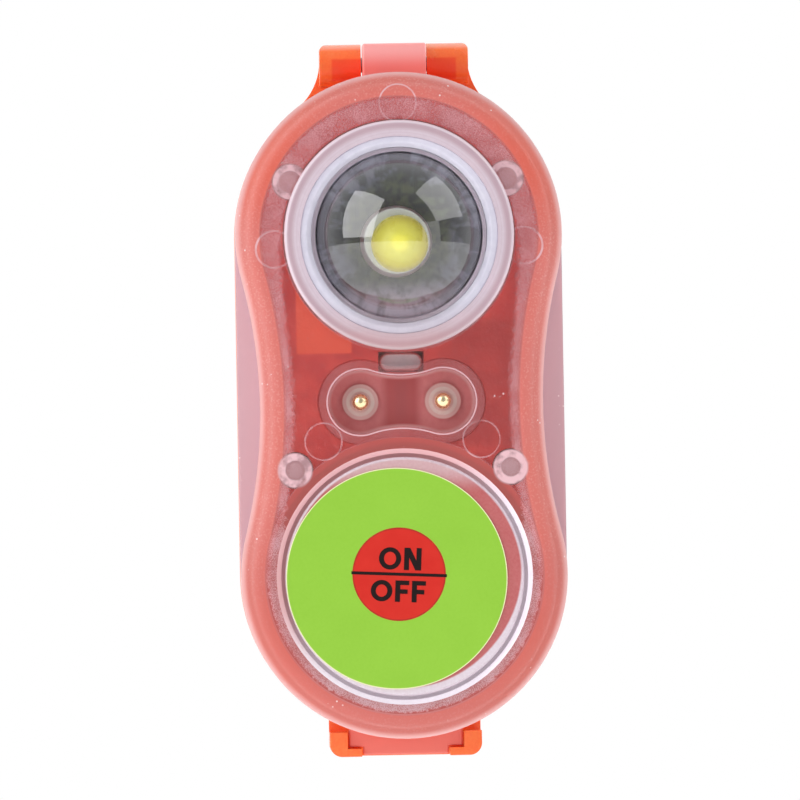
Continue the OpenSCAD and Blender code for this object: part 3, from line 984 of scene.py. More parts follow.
@dataclass(frozen=True)
class RearCover(Recipe):
    """Frosted pink-red of the rear cover."""

    def dress(self, graph: Graph, shader: bpy.types.Node) -> None:
        """Builds the shader's inputs.

        Args:
            graph: The material's node tree.
            shader: Its Principled shader.
        """
        grain = graph.use(self.effects.grain, Size=0.2, Depth=0.015)
        streaks = graph.noise(graph.place(), 2.2, 4.0)
        colour = graph.blend(grain.outputs["Value"], (0.90, 0.060, 0.045), (0.97, 0.14, 0.11))
        colour = graph.blend(graph.mask(streaks, 0.55, 0.8), colour, (0.92, 0.20, 0.17))
        off_back = graph.mask(graph.use(self.effects.reach).outputs["Depth"], 0.1, 0.5)
        skirt = graph.mask(graph.use(self.effects.inset).outputs["Inset"], 0.6, 0.2)
        skirt = graph.times(skirt, off_back)
        milky = graph.blend(grain.outputs["Value"], (0.80, 0.44, 0.48), (0.88, 0.54, 0.58))
        colour = graph.blend(skirt, colour, milky)
        z = graph.use(self.effects.reach).outputs["Z"]
        knuckle = graph.blend(graph.mask(z, 35.6, 38.0), (1.0, 0.20, 0.17), (1.0, 0.44, 0.42))
        colour = graph.blend(graph.mask(z, 33.5, 35.5), colour, knuckle)
        colour = graph.blend(graph.mask(z, -33.0, -34.5), colour, (0.78, 0.17, 0.13))
        roughness = graph.scale(grain.outputs["Value"], 0.3, 0.5)
        self.surface(graph, shader, colour, roughness, grain.outputs["Normal"])
        # Painted light: a faint glow brightens the rear cover and its tabs, which sit partly in shade.
        self.painted_glow(graph, shader, colour, 0.10)
        self.see_through(shader, 0.15)


@dataclass(frozen=True)
class RedLiner(Recipe):
    """Orange-red liner with darker stretches where parts lie close behind it."""

    def dress(self, graph: Graph, shader: bpy.types.Node) -> None:
        """Builds the shader's inputs.

        Args:
            graph: The material's node tree.
            shader: Its Principled shader.
        """
        place = graph.place()
        reach = graph.use(self.effects.reach)
        x, z = reach.outputs["X"], reach.outputs["Z"]
        mottled = graph.noise(place, 3.2, 4.0)
        colour = graph.blend(graph.mask(mottled, 0.35, 0.7), (0.66, 0.048, 0.040), (0.80, 0.078, 0.060))
        bright = graph.times(graph.band(x, -11.0, -5.2, 0.3), graph.band(z, 5.6, 13.5, 0.3))
        colour = graph.blend(graph.times(bright, 0.8), colour, (1.0, 0.125, 0.055))
        right = graph.times(graph.mask(x, 3.0, 6.0), graph.band(z, -4.5, 9.0, 1.5))
        colour = graph.blend(graph.times(right, 0.45), colour, (0.38, 0.03, 0.025))
        bar = graph.times(graph.band(x, -0.55, 0.55, 0.15), graph.band(z, -1.3, 2.4, 0.3))
        colour = graph.blend(graph.times(bar, 0.75), colour, (0.28, 0.012, 0.012))
        roughness = graph.scale(mottled, 0.3, 0.5)
        self.surface(graph, shader, colour, roughness, graph.bump(graph.noise(place, 0.4), 0.03))
        # Painted light: a glow stands in for light let through the liner from behind.
        self.painted_glow(graph, shader, colour, 0.22)


@dataclass(frozen=True)
class OrangeClip(Recipe):
    """Orange translucent clip plate, darker red in two patches beside the root of its tip."""

    def dress(self, graph: Graph, shader: bpy.types.Node) -> None:
        """Builds the shader's inputs.

        Args:
            graph: The material's node tree.
            shader: Its Principled shader.
        """
        grain = graph.use(self.effects.grain, Size=0.3, Depth=0.015)
        rubs = graph.use(self.effects.wear).outputs["Rubs"]
        colour = graph.blend(grain.outputs["Value"], (0.92, 0.13, 0.03), (1.0, 0.24, 0.06))
        colour = graph.blend(graph.times(rubs, 0.25), colour, (0.98, 0.36, 0.16))
        reach = graph.use(self.effects.reach)
        across = graph.math("ABSOLUTE", reach.outputs["X"])
        height = graph.band(reach.outputs["Z"], 34.6, 36.9, 0.3)
        # Darker red in two patches beside the root of the tip.
        root = graph.times(graph.band(across, 3.0, 6.6, 0.3), height)
        colour = graph.blend(graph.times(root, 0.65), colour, (0.86, 0.050, 0.022))
        crest = graph.mask(reach.outputs["Z"], 37.7, 38.2)
        colour = graph.blend(graph.times(crest, 0.5), colour, (0.96, 0.44, 0.34))
        self.surface(graph, shader, colour, graph.scale(rubs, 0.22, 0.42), grain.outputs["Normal"])
        shader.inputs["Subsurface Weight"].default_value = 0.35
        shader.inputs["Subsurface Radius"].default_value = (0.003, 0.0008, 0.0003)


@dataclass(frozen=True)
class ClearLens(Recipe):
    """Clear polished lens with faint scuffs."""

    def dress(self, graph: Graph, shader: bpy.types.Node) -> None:
        """Builds the shader's inputs.

        Args:
            graph: The material's node tree.
            shader: Its Principled shader.
        """
        wear = graph.use(self.effects.wear, Speck_Size=1.2)
        rubs = graph.times(wear.outputs["Rubs"], 0.25)
        marks = graph.larger(wear.outputs["Specks"], rubs)
        graph.feed(shader.inputs["Base Color"], (0.96, 0.98, 1.0))
        graph.feed(shader.inputs["Roughness"], graph.scale(marks, 0.01, 0.10))
        ripple = graph.noise(graph.place(), 1.6, 2.0)
        graph.feed(shader.inputs["Normal"], graph.bump(ripple, 0.02, 0.6))
        inside = graph.add("ShaderNodeNewGeometry").outputs["Backfacing"]
        graph.feed(shader.inputs["Coat Weight"], graph.minus(1.0, inside))
        shader.inputs["Coat Roughness"].default_value = 0.03
        shader.inputs["Coat IOR"].default_value = 2.0
        self.see_through(shader, 1.0, 1.12)


@dataclass(frozen=True)
class PaleRetainer(Recipe):
    """Bright lavender-white ring that holds the lens."""

    def dress(self, graph: Graph, shader: bpy.types.Node) -> None:
        """Builds the shader's inputs.

        Args:
            graph: The material's node tree.
            shader: Its Principled shader.
        """
        grain = graph.use(self.effects.grain, Size=0.8, Depth=0.03)
        colour = graph.blend(grain.outputs["Value"], (0.66, 0.64, 0.76), (0.90, 0.87, 0.96))
        reach = graph.use(self.effects.reach)
        # Painted shade: the ring turns darker towards the bottom.
        lower = graph.times(graph.mask(reach.outputs["Z"], 12.0, 8.0), 0.4)
        colour = graph.blend(lower, colour, (0.62, 0.52, 0.58))
        roughness = graph.scale(grain.outputs["Value"], 0.10, 0.22)
        self.surface(graph, shader, colour, roughness, grain.outputs["Normal"])
        # Painted light: a faint glow brightens the ring.
        self.painted_glow(graph, shader, colour, 0.06)
        self.see_through(shader, 0.2)


@dataclass(frozen=True)
class LensBoard(Recipe):
    """Olive circuit board under the lens, with a painted dark bluish ring of reflection and shade away from
    the LED and a painted pale reflection of the table below it.
    """

    def dress(self, graph: Graph, shader: bpy.types.Node) -> None:
        """Builds the shader's inputs.

        Args:
            graph: The material's node tree.
            shader: Its Principled shader.
        """
        reach = graph.use(self.effects.reach)
        place = graph.place()
        fine, broad = graph.noise(place, 0.7, 5.0), graph.noise(place, 2.0, 4.0)
        mixed = graph.plus(graph.times(broad, 0.6), graph.times(fine, 0.4))
        # Painted reflection and shade: a mottled dark bluish ring around the LED.
        dark_ring_blotch = graph.mask(mixed, 0.46, 0.60)
        olive = graph.blend(graph.mask(fine, 0.35, 0.65), (0.022, 0.032, 0.006), (0.11, 0.14, 0.04))
        dark = graph.blend(dark_ring_blotch, (0.008, 0.011, 0.020), (0.20, 0.22, 0.29))
        ragged = graph.plus(reach.outputs["Lens"], graph.times(broad, 2.0))
        colour = graph.blend(graph.band(ragged, 5.6, 11.5, 1.6), olive, dark)
        # Painted reflection: pale lavender streaks of the table, below the LED.
        height = reach.outputs["Z"]
        pale = graph.times(graph.mask(height, 14.6, 12.2), graph.mask(height, 7.0, 8.5))
        streaks = graph.scale(graph.mask(fine, 0.3, 0.6), 0.5, 1.0)
        colour = graph.blend(graph.times(pale, streaks), colour, (0.86, 0.82, 0.92))
        graph.feed(shader.inputs["Base Color"], colour)
        graph.feed(shader.inputs["Roughness"], graph.scale(fine, 0.25, 0.5))
        weave = graph.add("ShaderNodeTexBrick")
        graph.feed(weave.inputs["Vector"], place)
        graph.feed(weave.inputs["Scale"], 1 / (2.0 * MM))
        graph.feed(shader.inputs["Normal"], graph.bump(weave.outputs["Fac"], 0.02, 0.5))


@dataclass(frozen=True)
class LedPhosphor(Recipe):
    """Waxy yellow phosphor, a little paler towards its rim."""

    def dress(self, graph: Graph, shader: bpy.types.Node) -> None:
        """Builds the shader's inputs.

        Args:
            graph: The material's node tree.
            shader: Its Principled shader.
        """
        reach = graph.use(self.effects.reach)
        waxy = graph.noise(graph.place(), 1.2, 3.0)
        colour = graph.blend(waxy, (0.84, 0.76, 0.055), (0.92, 0.86, 0.10))
        colour = graph.blend(graph.mask(reach.outputs["Lens"], 2.8, 3.8), colour, (0.88, 0.86, 0.32))
        graph.feed(shader.inputs["Base Color"], colour)
        graph.feed(shader.inputs["Roughness"], graph.scale(waxy, 0.22, 0.34))
        # Painted light: a faint glow brightens the unlit phosphor.
        self.painted_glow(graph, shader, colour, 0.12)
        graph.feed(shader.inputs["Normal"], graph.bump(waxy, 0.02))


@dataclass(frozen=True)
class GreenLabel(Recipe):
    """Printed green film with faint mottling and a pale cut edge."""

    def dress(self, graph: Graph, shader: bpy.types.Node) -> None:
        """Builds the shader's inputs.

        Args:
            graph: The material's node tree.
            shader: Its Principled shader.
        """
        place = graph.place()
        mottled = graph.noise(place, 5.0, 5.0)
        fine = graph.noise(place, 0.3, 3.0)
        colour = graph.blend(mottled, (0.230, 0.500, 0.018), (0.265, 0.550, 0.028))
        colour = graph.blend(graph.times(fine, 0.12), colour, (0.50, 0.80, 0.12))
        specks = graph.use(self.effects.wear, Speck_Size=1.6).outputs["Specks"]
        colour = graph.blend(graph.times(specks, 0.25), colour, (0.10, 0.22, 0.02))
        radius = (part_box("button_label")[1].x - self.layout.label.x) / MM
        split = graph.add("ShaderNodeSeparateXYZ")
        graph.feed(split.inputs[0], place)
        label = self.layout.label
        metres = graph.distance(split.outputs[0], split.outputs[2], label.x, label.z)
        distance = graph.times(metres, 1 / MM)
        colour = graph.blend(graph.mask(distance, radius - 0.14, radius - 0.04), colour, (0.86, 0.84, 0.50))
        self.surface(graph, shader, colour, graph.scale(fine, 0.42, 0.55), graph.bump(fine, 0.006))


@dataclass(frozen=True)
class RedDisc(Recipe):
    """Printed red disc with a darker rim where the two prints overlap."""

    def dress(self, graph: Graph, shader: bpy.types.Node) -> None:
        """Builds the shader's inputs.

        Args:
            graph: The material's node tree.
            shader: Its Principled shader.
        """
        place = graph.place()
        mottled, fine = graph.noise(place, 2.0, 4.0), graph.noise(place, 0.3, 3.0)
        colour = graph.blend(mottled, (0.57, 0.013, 0.007), (0.66, 0.028, 0.016))
        rim = graph.use(
            self.effects.mark,
            Centre_X=self.layout.disc.x / MM,
            Centre_Z=self.layout.disc.z / MM,
            Radius=4.9,
            Width=0.2,
        )
        colour = graph.blend(graph.times(rim.outputs["Ring"], 0.7), colour, (0.30, 0.02, 0.012))
        self.surface(graph, shader, colour, graph.scale(fine, 0.50, 0.62), graph.bump(fine, 0.005))
        shader.inputs["Specular IOR Level"].default_value = 0.25


@dataclass(frozen=True)
class ButtonCap(Recipe):
    """Translucent red-pink button cap, seen only as a thin ring around the label."""

    def dress(self, graph: Graph, shader: bpy.types.Node) -> None:
        """Builds the shader's inputs.

        Args:
            graph: The material's node tree.
            shader: Its Principled shader.
        """
        grain = graph.use(self.effects.grain, Size=0.3, Depth=0.01)
        reach = graph.use(self.effects.reach)
        colour = graph.blend(grain.outputs["Value"], (0.50, 0.10, 0.10), (0.64, 0.20, 0.20))
        frosted = graph.blend(grain.outputs["Value"], (0.62, 0.34, 0.36), (0.78, 0.54, 0.56))
        colour = graph.blend(graph.mask(reach.outputs["Z"], -9.5, -6.5), colour, frosted)
        lower = graph.times(graph.mask(reach.outputs["Z"], -16.0, -28.0), 0.6)
        outer = graph.mask(graph.plus(reach.outputs["Button"], lower), 12.25, 12.5)
        skirt = graph.blend(grain.outputs["Value"], (0.72, 0.56, 0.62), (0.93, 0.88, 0.95))
        colour = graph.blend(outer, colour, skirt)
        roughness = graph.scale(grain.outputs["Value"], 0.18, 0.32)
        self.surface(graph, shader, colour, roughness, grain.outputs["Normal"])
        self.see_through(shader, 0.15)


@dataclass(frozen=True)
class DrawnMetal(Recipe):
    """Metal with drawn lines and slight tarnish.

    Attributes:
        look: Its colours, roughness and grain.
    """

    look: Look

    def dress(self, graph: Graph, shader: bpy.types.Node) -> None:
        """Builds the shader's inputs.

        Args:
            graph: The material's node tree.
            shader: Its Principled shader.
        """
        place = graph.place()
        tarnish = graph.noise(place, self.look.grain_mm * 4, 4.0)
        fine = graph.noise(place, self.look.grain_mm, 3.0)
        roughness = graph.scale(fine, self.look.smooth, self.look.rough)
        colour = graph.blend(tarnish, self.look.dark, self.look.light)
        self.surface(graph, shader, colour, roughness, graph.bump(fine, self.look.bump_mm))
        shader.inputs["Metallic"].default_value = 1.0


@dataclass(frozen=True)
class MouldedPlastic(Recipe):
    """Moulded plastic or rubber with fine grain.

    Attributes:
        look: Its colours, roughness and grain.
    """

    look: Look

    def dress(self, graph: Graph, shader: bpy.types.Node) -> None:
        """Builds the shader's inputs.

        Args:
            graph: The material's node tree.
            shader: Its Principled shader.
        """
        place = graph.place()
        shader.inputs["Specular IOR Level"].default_value = self.look.sheen
        fine = graph.noise(place, self.look.grain_mm, 4.0)
        roughness = graph.scale(fine, self.look.smooth, self.look.rough)
        colour = graph.blend(fine, self.look.dark, self.look.light)
        self.surface(graph, shader, colour, roughness, graph.bump(fine, self.look.bump_mm))


METALS: dict[Finish, Look] = {
    Finish.CAN: Look((0.86, 0.86, 0.87), (0.99, 0.99, 1.0), 0.32, 0.48, 0.4, 0.004),
    Finish.CELL: Look((0.60, 0.60, 0.62), (0.78, 0.78, 0.80), 0.20, 0.40, 0.4, 0.006),
    Finish.NICKEL: Look((0.52, 0.50, 0.46), (0.68, 0.66, 0.62), 0.25, 0.40, 0.3, 0.006),
    Finish.GOLD: Look((0.94, 0.70, 0.34), (1.0, 0.88, 0.58), 0.22, 0.34, 0.3, 0.002),
    Finish.SCREW: Look((0.46, 0.47, 0.49), (0.66, 0.67, 0.69), 0.22, 0.38, 0.3, 0.006),
}

PLASTICS: dict[Finish, Look] = {
    Finish.SEAL: Look((0.36, 0.13, 0.13), (0.50, 0.22, 0.22), 0.45, 0.65),
    Finish.SOFT_SEAL: Look((0.50, 0.49, 0.56), (0.70, 0.69, 0.76), 0.35, 0.55),
    Finish.LED_BASE: Look((0.70, 0.72, 0.64), (0.84, 0.86, 0.78), 0.30, 0.45, 0.5),
    Finish.CHIP: Look((0.018, 0.018, 0.02), (0.04, 0.04, 0.045), 0.35, 0.55, 0.2),
    Finish.CAPACITOR: Look((0.38, 0.22, 0.08), (0.52, 0.33, 0.14), 0.35, 0.55, 0.3),
    Finish.CARRIER: Look((0.03, 0.03, 0.034), (0.06, 0.06, 0.066), 0.40, 0.60, 0.3),
    Finish.FOAM: Look((0.04, 0.04, 0.045), (0.12, 0.12, 0.13), 0.80, 0.95, 0.35, 0.12),
    Finish.INK: Look((0.006, 0.003, 0.003), (0.014, 0.005, 0.005), 0.60, 0.75, 0.2, 0.003, 0.2),
    Finish.SWITCH: Look((0.03, 0.03, 0.035), (0.06, 0.06, 0.07), 0.35, 0.55),
    Finish.PLUNGER: Look((0.70, 0.66, 0.56), (0.82, 0.78, 0.68), 0.35, 0.50),
}

RECIPES: dict[Finish, type[Recipe]] = {
    Finish.COVER: ClearCover,
    Finish.FROST: FrostedSkin,
    Finish.RIM: LensCollar,
    Finish.WELL: ButtonWell,
    Finish.RECESS: ContactRecess,
    Finish.BASE: RearCover,
    Finish.LINER: RedLiner,
    Finish.CLIP: OrangeClip,
    Finish.LENS: ClearLens,
    Finish.RETAINER: PaleRetainer,
    Finish.BOARD: LensBoard,
    Finish.PHOSPHOR: LedPhosphor,
    Finish.GREEN: GreenLabel,
    Finish.RED: RedDisc,
    Finish.CAP: ButtonCap,
}


@dataclass
class Palette:
    """Makes each material once and hands it out.

    Attributes:
        effects: The shared node groups.
        layout: Places of the housing's features.
        made: Materials by finish.
    """

    effects: Effects
    layout: Layout
    made: dict[Finish, bpy.types.Material] = field(default_factory=dict)

    def get(self, finish: Finish) -> bpy.types.Material:
        """Finds a material, and makes it the first time.

        Args:
            finish: Which material.

        Returns:
            The material.
        """
        if finish not in self.made:
            self.made[finish] = self._make(finish)
            LOG.info("material %s", finish.value)
        return self.made[finish]

    def _make(self, finish: Finish) -> bpy.types.Material:
        """Builds a material with the recipe of its finish.

        Args:
            finish: Which material.

        Returns:
            The new material.
        """
        material = bpy.data.materials.new(finish.value)
        material.use_nodes = True
        material.node_tree.nodes.clear()
        graph = Graph(material.node_tree)
        shader = graph.add("ShaderNodeBsdfPrincipled")
        output = graph.add("ShaderNodeOutputMaterial")
        graph.feed(output.inputs["Surface"], shader.outputs[0])
        self._recipe(finish).dress(graph, shader)
        return material

    def _recipe(self, finish: Finish) -> Recipe:
        """Chooses how a finish is made.

        Args:
            finish: Which material.

        Returns:
            Its recipe.
        """
        if finish in METALS:
            return DrawnMetal(self.effects, self.layout, METALS[finish])
        if finish in PLASTICS:
            return MouldedPlastic(self.effects, self.layout, PLASTICS[finish])
        return RECIPES[finish](self.effects, self.layout)


# ------------------------------------------------------------------------------------------------
# Mesh helpers


def link(mesh: bpy.types.Mesh, name: str, finish: Finish, palette: Palette, body: str) -> bpy.types.Object:
    """Makes a piece from a mesh, with its material, on its body.

    Args:
        mesh: The finished mesh.
        name: Name of the piece.
        finish: Its material.
        palette: Hands out the materials.
        body: CAD body that it rides on.

    Returns:
        The new object.
    """
    piece = bpy.data.objects.new(name, mesh)
    bpy.context.scene.collection.objects.link(piece)
    if not mesh.materials:
        mesh.materials.append(palette.get(finish))
    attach(piece, body)
    LOG.info("piece %s on %s", name, body)
    return piece


def soften(piece: bpy.types.Object, radius_mm: float, angle_deg: float = 38.0) -> None:
    """Gives a piece small rounded edges, as a mould does.

    Args:
        piece: The piece or CAD node.
        radius_mm: Radius of the rounding.
        angle_deg: Edges sharper than this are rounded.
    """
    weld = piece.modifiers.new("weld", "WELD")
    weld.merge_threshold = 2e-6
    flat = piece.modifiers.new("flat", "DECIMATE")
    flat.decimate_type = "DISSOLVE"
    flat.angle_limit = math.radians(0.3)
    bevel = piece.modifiers.new("edges", "BEVEL")
    bevel.width = radius_mm * MM
    bevel.segments = 3
    bevel.limit_method = "ANGLE"
    bevel.angle_limit = math.radians(angle_deg)
    bevel.harden_normals = False
    normals = piece.modifiers.new("normals", "WEIGHTED_NORMAL")
    normals.keep_sharp = False


def applied_copy(node: str, name: str, radius_mm: float) -> bpy.types.Mesh:
    """Copies a CAD node's mesh with rounded edges applied.

    Args:
        node: The CAD node.
        name: Name of the new mesh.
        radius_mm: Radius of the rounding.

    Returns:
        A mesh of its own.
    """
    source = bpy.data.objects[node]
    twin = bpy.data.objects.new(name, source.data.copy())
    bpy.context.scene.collection.objects.link(twin)
    soften(twin, radius_mm)
    graph = bpy.context.evaluated_depsgraph_get()
    mesh = bpy.data.meshes.new_from_object(twin.evaluated_get(graph))
    mesh.name = name
    bpy.data.objects.remove(twin)
    mesh.materials.clear()
    return mesh


def circle_points(radius: float, count: int, squash: float = 1.0) -> list[Point2]:
    """Lists the points of a circle or an ellipse.

    Args:
        radius: Half its width.
        count: Number of points.
        squash: Its height as a share of its width.

    Returns:
        The points, anticlockwise.
    """
    turns = [2 * math.pi * i / count for i in range(count)]
    return [(radius * math.cos(t), radius * squash * math.sin(t)) for t in turns]


def mesh_from(bm: bmesh.types.BMesh, name: str) -> bpy.types.Mesh:
    """Turns a bmesh into a smooth-shaded mesh.

    Args:
        bm: The finished bmesh. It is freed.
        name: Name of the mesh.

    Returns:
        The mesh.
    """
    bmesh.ops.recalc_face_normals(bm, faces=bm.faces)
    mesh = bpy.data.meshes.new(name)
    bm.to_mesh(mesh)
    bm.free()
    mesh.shade_smooth()
    return mesh


def box_outline(x0: float, y0: float, x1: float, y1: float) -> list[Point2]:
    """Lists the corners of a rectangle.

    Args:
        x0: Left side.
        y0: Lower side.
        x1: Right side.
        y1: Upper side.

    Returns:
        Its corners, anticlockwise.
    """
    return [(x0, y0), (x1, y0), (x1, y1), (x0, y1)]


def shifted(points: Sequence[Point2], across: float, up: float) -> list[Point2]:
    """Moves points in their plane.

    Args:
        points: The points.
        across: Distance to the right.
        up: Distance upwards.

    Returns:
        The moved points.
    """
    return [(x + across, y + up) for x, y in points]


# ------------------------------------------------------------------------------------------------
# Sub-assemblies


@dataclass(frozen=True)
class Housing:
    """The finished housing pieces.

    Attributes:
        cover: The front cover.
        frost: The cover's frosted skin.
    """

    cover: bpy.types.Object
    frost: bpy.types.Object


@dataclass
class HousingBuilder:
    """Gives the housing its materials and moulded edges. Its own sizes are in millimetres.

    Attributes:
        palette: Hands out the materials.
        layout: Places of the features.
        collar_radius: Reach of the lens collar from the lens axis.
        bore_radius: Reach of the collar's bore.
        well_radius: Reach of the button well's wall from the button axis.
        recess_edge: How far the recess's wall may stand outside its outline.
        recess_back: Least height of the recess's faces above the housing's back.
        cap_level: Height of the lowest part of the front that is outside.
        ledge_level: Height of the ledge at the waist.
        skin_lift: How far the frosted skin lies off the clear plastic.
        edge_radius: Radius of the cover's rounded edges.
        slack: Allowance for faces that stand at the front face's own level.
    """

    palette: Palette
    layout: Layout
    collar_radius: float = 12.5
    bore_radius: float = 10.6
    well_radius: float = 13.9
    recess_edge: float = 0.4
    recess_back: float = 13.5
    cap_level: float = 15.0
    ledge_level: float = 11.0
    skin_lift: float = 0.02
    edge_radius: float = 0.22
    slack: float = 0.05

    def build(self) -> Housing:
        """Builds the front cover and its frosted skin.

        Returns:
            The finished housing.
        """
        cover = self._front_cover()
        frost = self._frost(cover)
        return Housing(cover, frost)

    def _front_cover(self) -> bpy.types.Object:
        """Splits the cover's surface into shell, collar, well and recess.

        Returns:
            The cover piece.
        """
        mesh = applied_copy("front_cover", "front_cover_shell", self.edge_radius)
        for finish in (Finish.COVER, Finish.RIM, Finish.WELL, Finish.RECESS):
            mesh.materials.append(self.palette.get(finish))
        for polygon in mesh.polygons:
            corners = [mesh.vertices[i].co for i in polygon.vertices]
            polygon.material_index = self._zone(corners, polygon.normal)
        piece = link(mesh, "front_cover_shell", Finish.COVER, self.palette, "housing")
        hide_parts("front_cover")
        return piece

    def _zone(self, corners: Sequence[Vector], normal: Vector) -> int:
        """Sorts a face of the cover: 0 shell, 1 collar, 2 button well, 3 contact recess.

        Args:
            corners: Its corners.
            normal: Its normal.

        Returns:
            The number of its material slot.
        """
        lens, button, tub = self.layout.lens, self.layout.button, self.layout.tub
        to_lens = max(math.hypot(c.x - lens.x, c.z - lens.z) for c in corners) / MM
        to_button = max(math.hypot(c.x - button.x, c.z - button.z) for c in corners) / MM
        in_tub = min(tub.inset(c.z / MM - tub.middle, c.x / MM) for c in corners)
        ahead = [(self.layout.face_y - c.y) / MM for c in corners]
        if to_lens < self.collar_radius and (max(ahead) > self.slack or to_lens < self.bore_radius):
            return 1
        if min(ahead) > -self.slack and normal.y < -0.5:
            return 0
        if to_button < self.well_radius and max(ahead) < self.slack:
            return 2
        rearmost = max(c.y for c in corners)
        return 3 if in_tub > -self.recess_edge and rearmost < -self.recess_back * MM else 0

    def _frost(self, cover: bpy.types.Object) -> bpy.types.Object:
        """Lifts the cover's outside faces a hair off the clear plastic, as its frosted skin.

        Args:
            cover: The cover piece.

        Returns:
            The skin piece.
        """
        bm = bmesh.new()
        bm.from_mesh(cover.data)
        inner = [face for face in bm.faces if face.material_index or not self._outside(face)]
        bmesh.ops.delete(bm, geom=inner, context="FACES")
        bm.normal_update()
        for vert in bm.verts:
            vert.co += vert.normal * self.skin_lift * MM
        for face in bm.faces:
            face.smooth = True
        mesh = bpy.data.meshes.new("front_cover_frost")
        bm.to_mesh(mesh)
        bm.free()
        if "custom_normal" in mesh.attributes:
            mesh.attributes.remove(mesh.attributes["custom_normal"])
        piece = link(mesh, "front_cover_frost", Finish.FROST, self.palette, "housing")
        piece.modifiers.new("normals", "WEIGHTED_NORMAL").keep_sharp = False
        return piece

    def _outside(self, face: bmesh.types.BMFace) -> bool:
        """Tells whether a face belongs to the outside of the cover.

        Args:
            face: The face.

        Returns:
            True for an outside face.
        """
        centre, normal = face.calc_center_median() / MM, face.normal
        if normal.y < -0.05:
            return centre.y < -self.cap_level or abs(centre.y + self.ledge_level) < 0.3
        straight = self.layout.body.radius - 0.05
        end = math.hypot(centre.x, max(0.0, abs(centre.z) - self.layout.body.offset))
        near_wall = abs(self.layout.body.inset(centre.x, centre.z)) < 0.1
        return normal.y < 0.3 and (near_wall or end > straight)


@dataclass(frozen=True)
class Printing:
    """The ink on the button's label.

    Attributes:
        letters: One piece for each word.
        divider: The line between the words.
    """

    letters: tuple[bpy.types.Object, ...]
    divider: bpy.types.Object


@dataclass(frozen=True)
class Word:
    """A word on the label, in millimetres from the middle of the red disc.

    Attributes:
        text: Its letters.
        middle: Where its middle is.
        base: Where its base line is.
        height: Height of its letters.
        widths: Width of each letter.
        gap: Gap between letters.
    """

    text: str
    middle: float
    base: float
    height: float
    widths: tuple[float, ...]
    gap: float


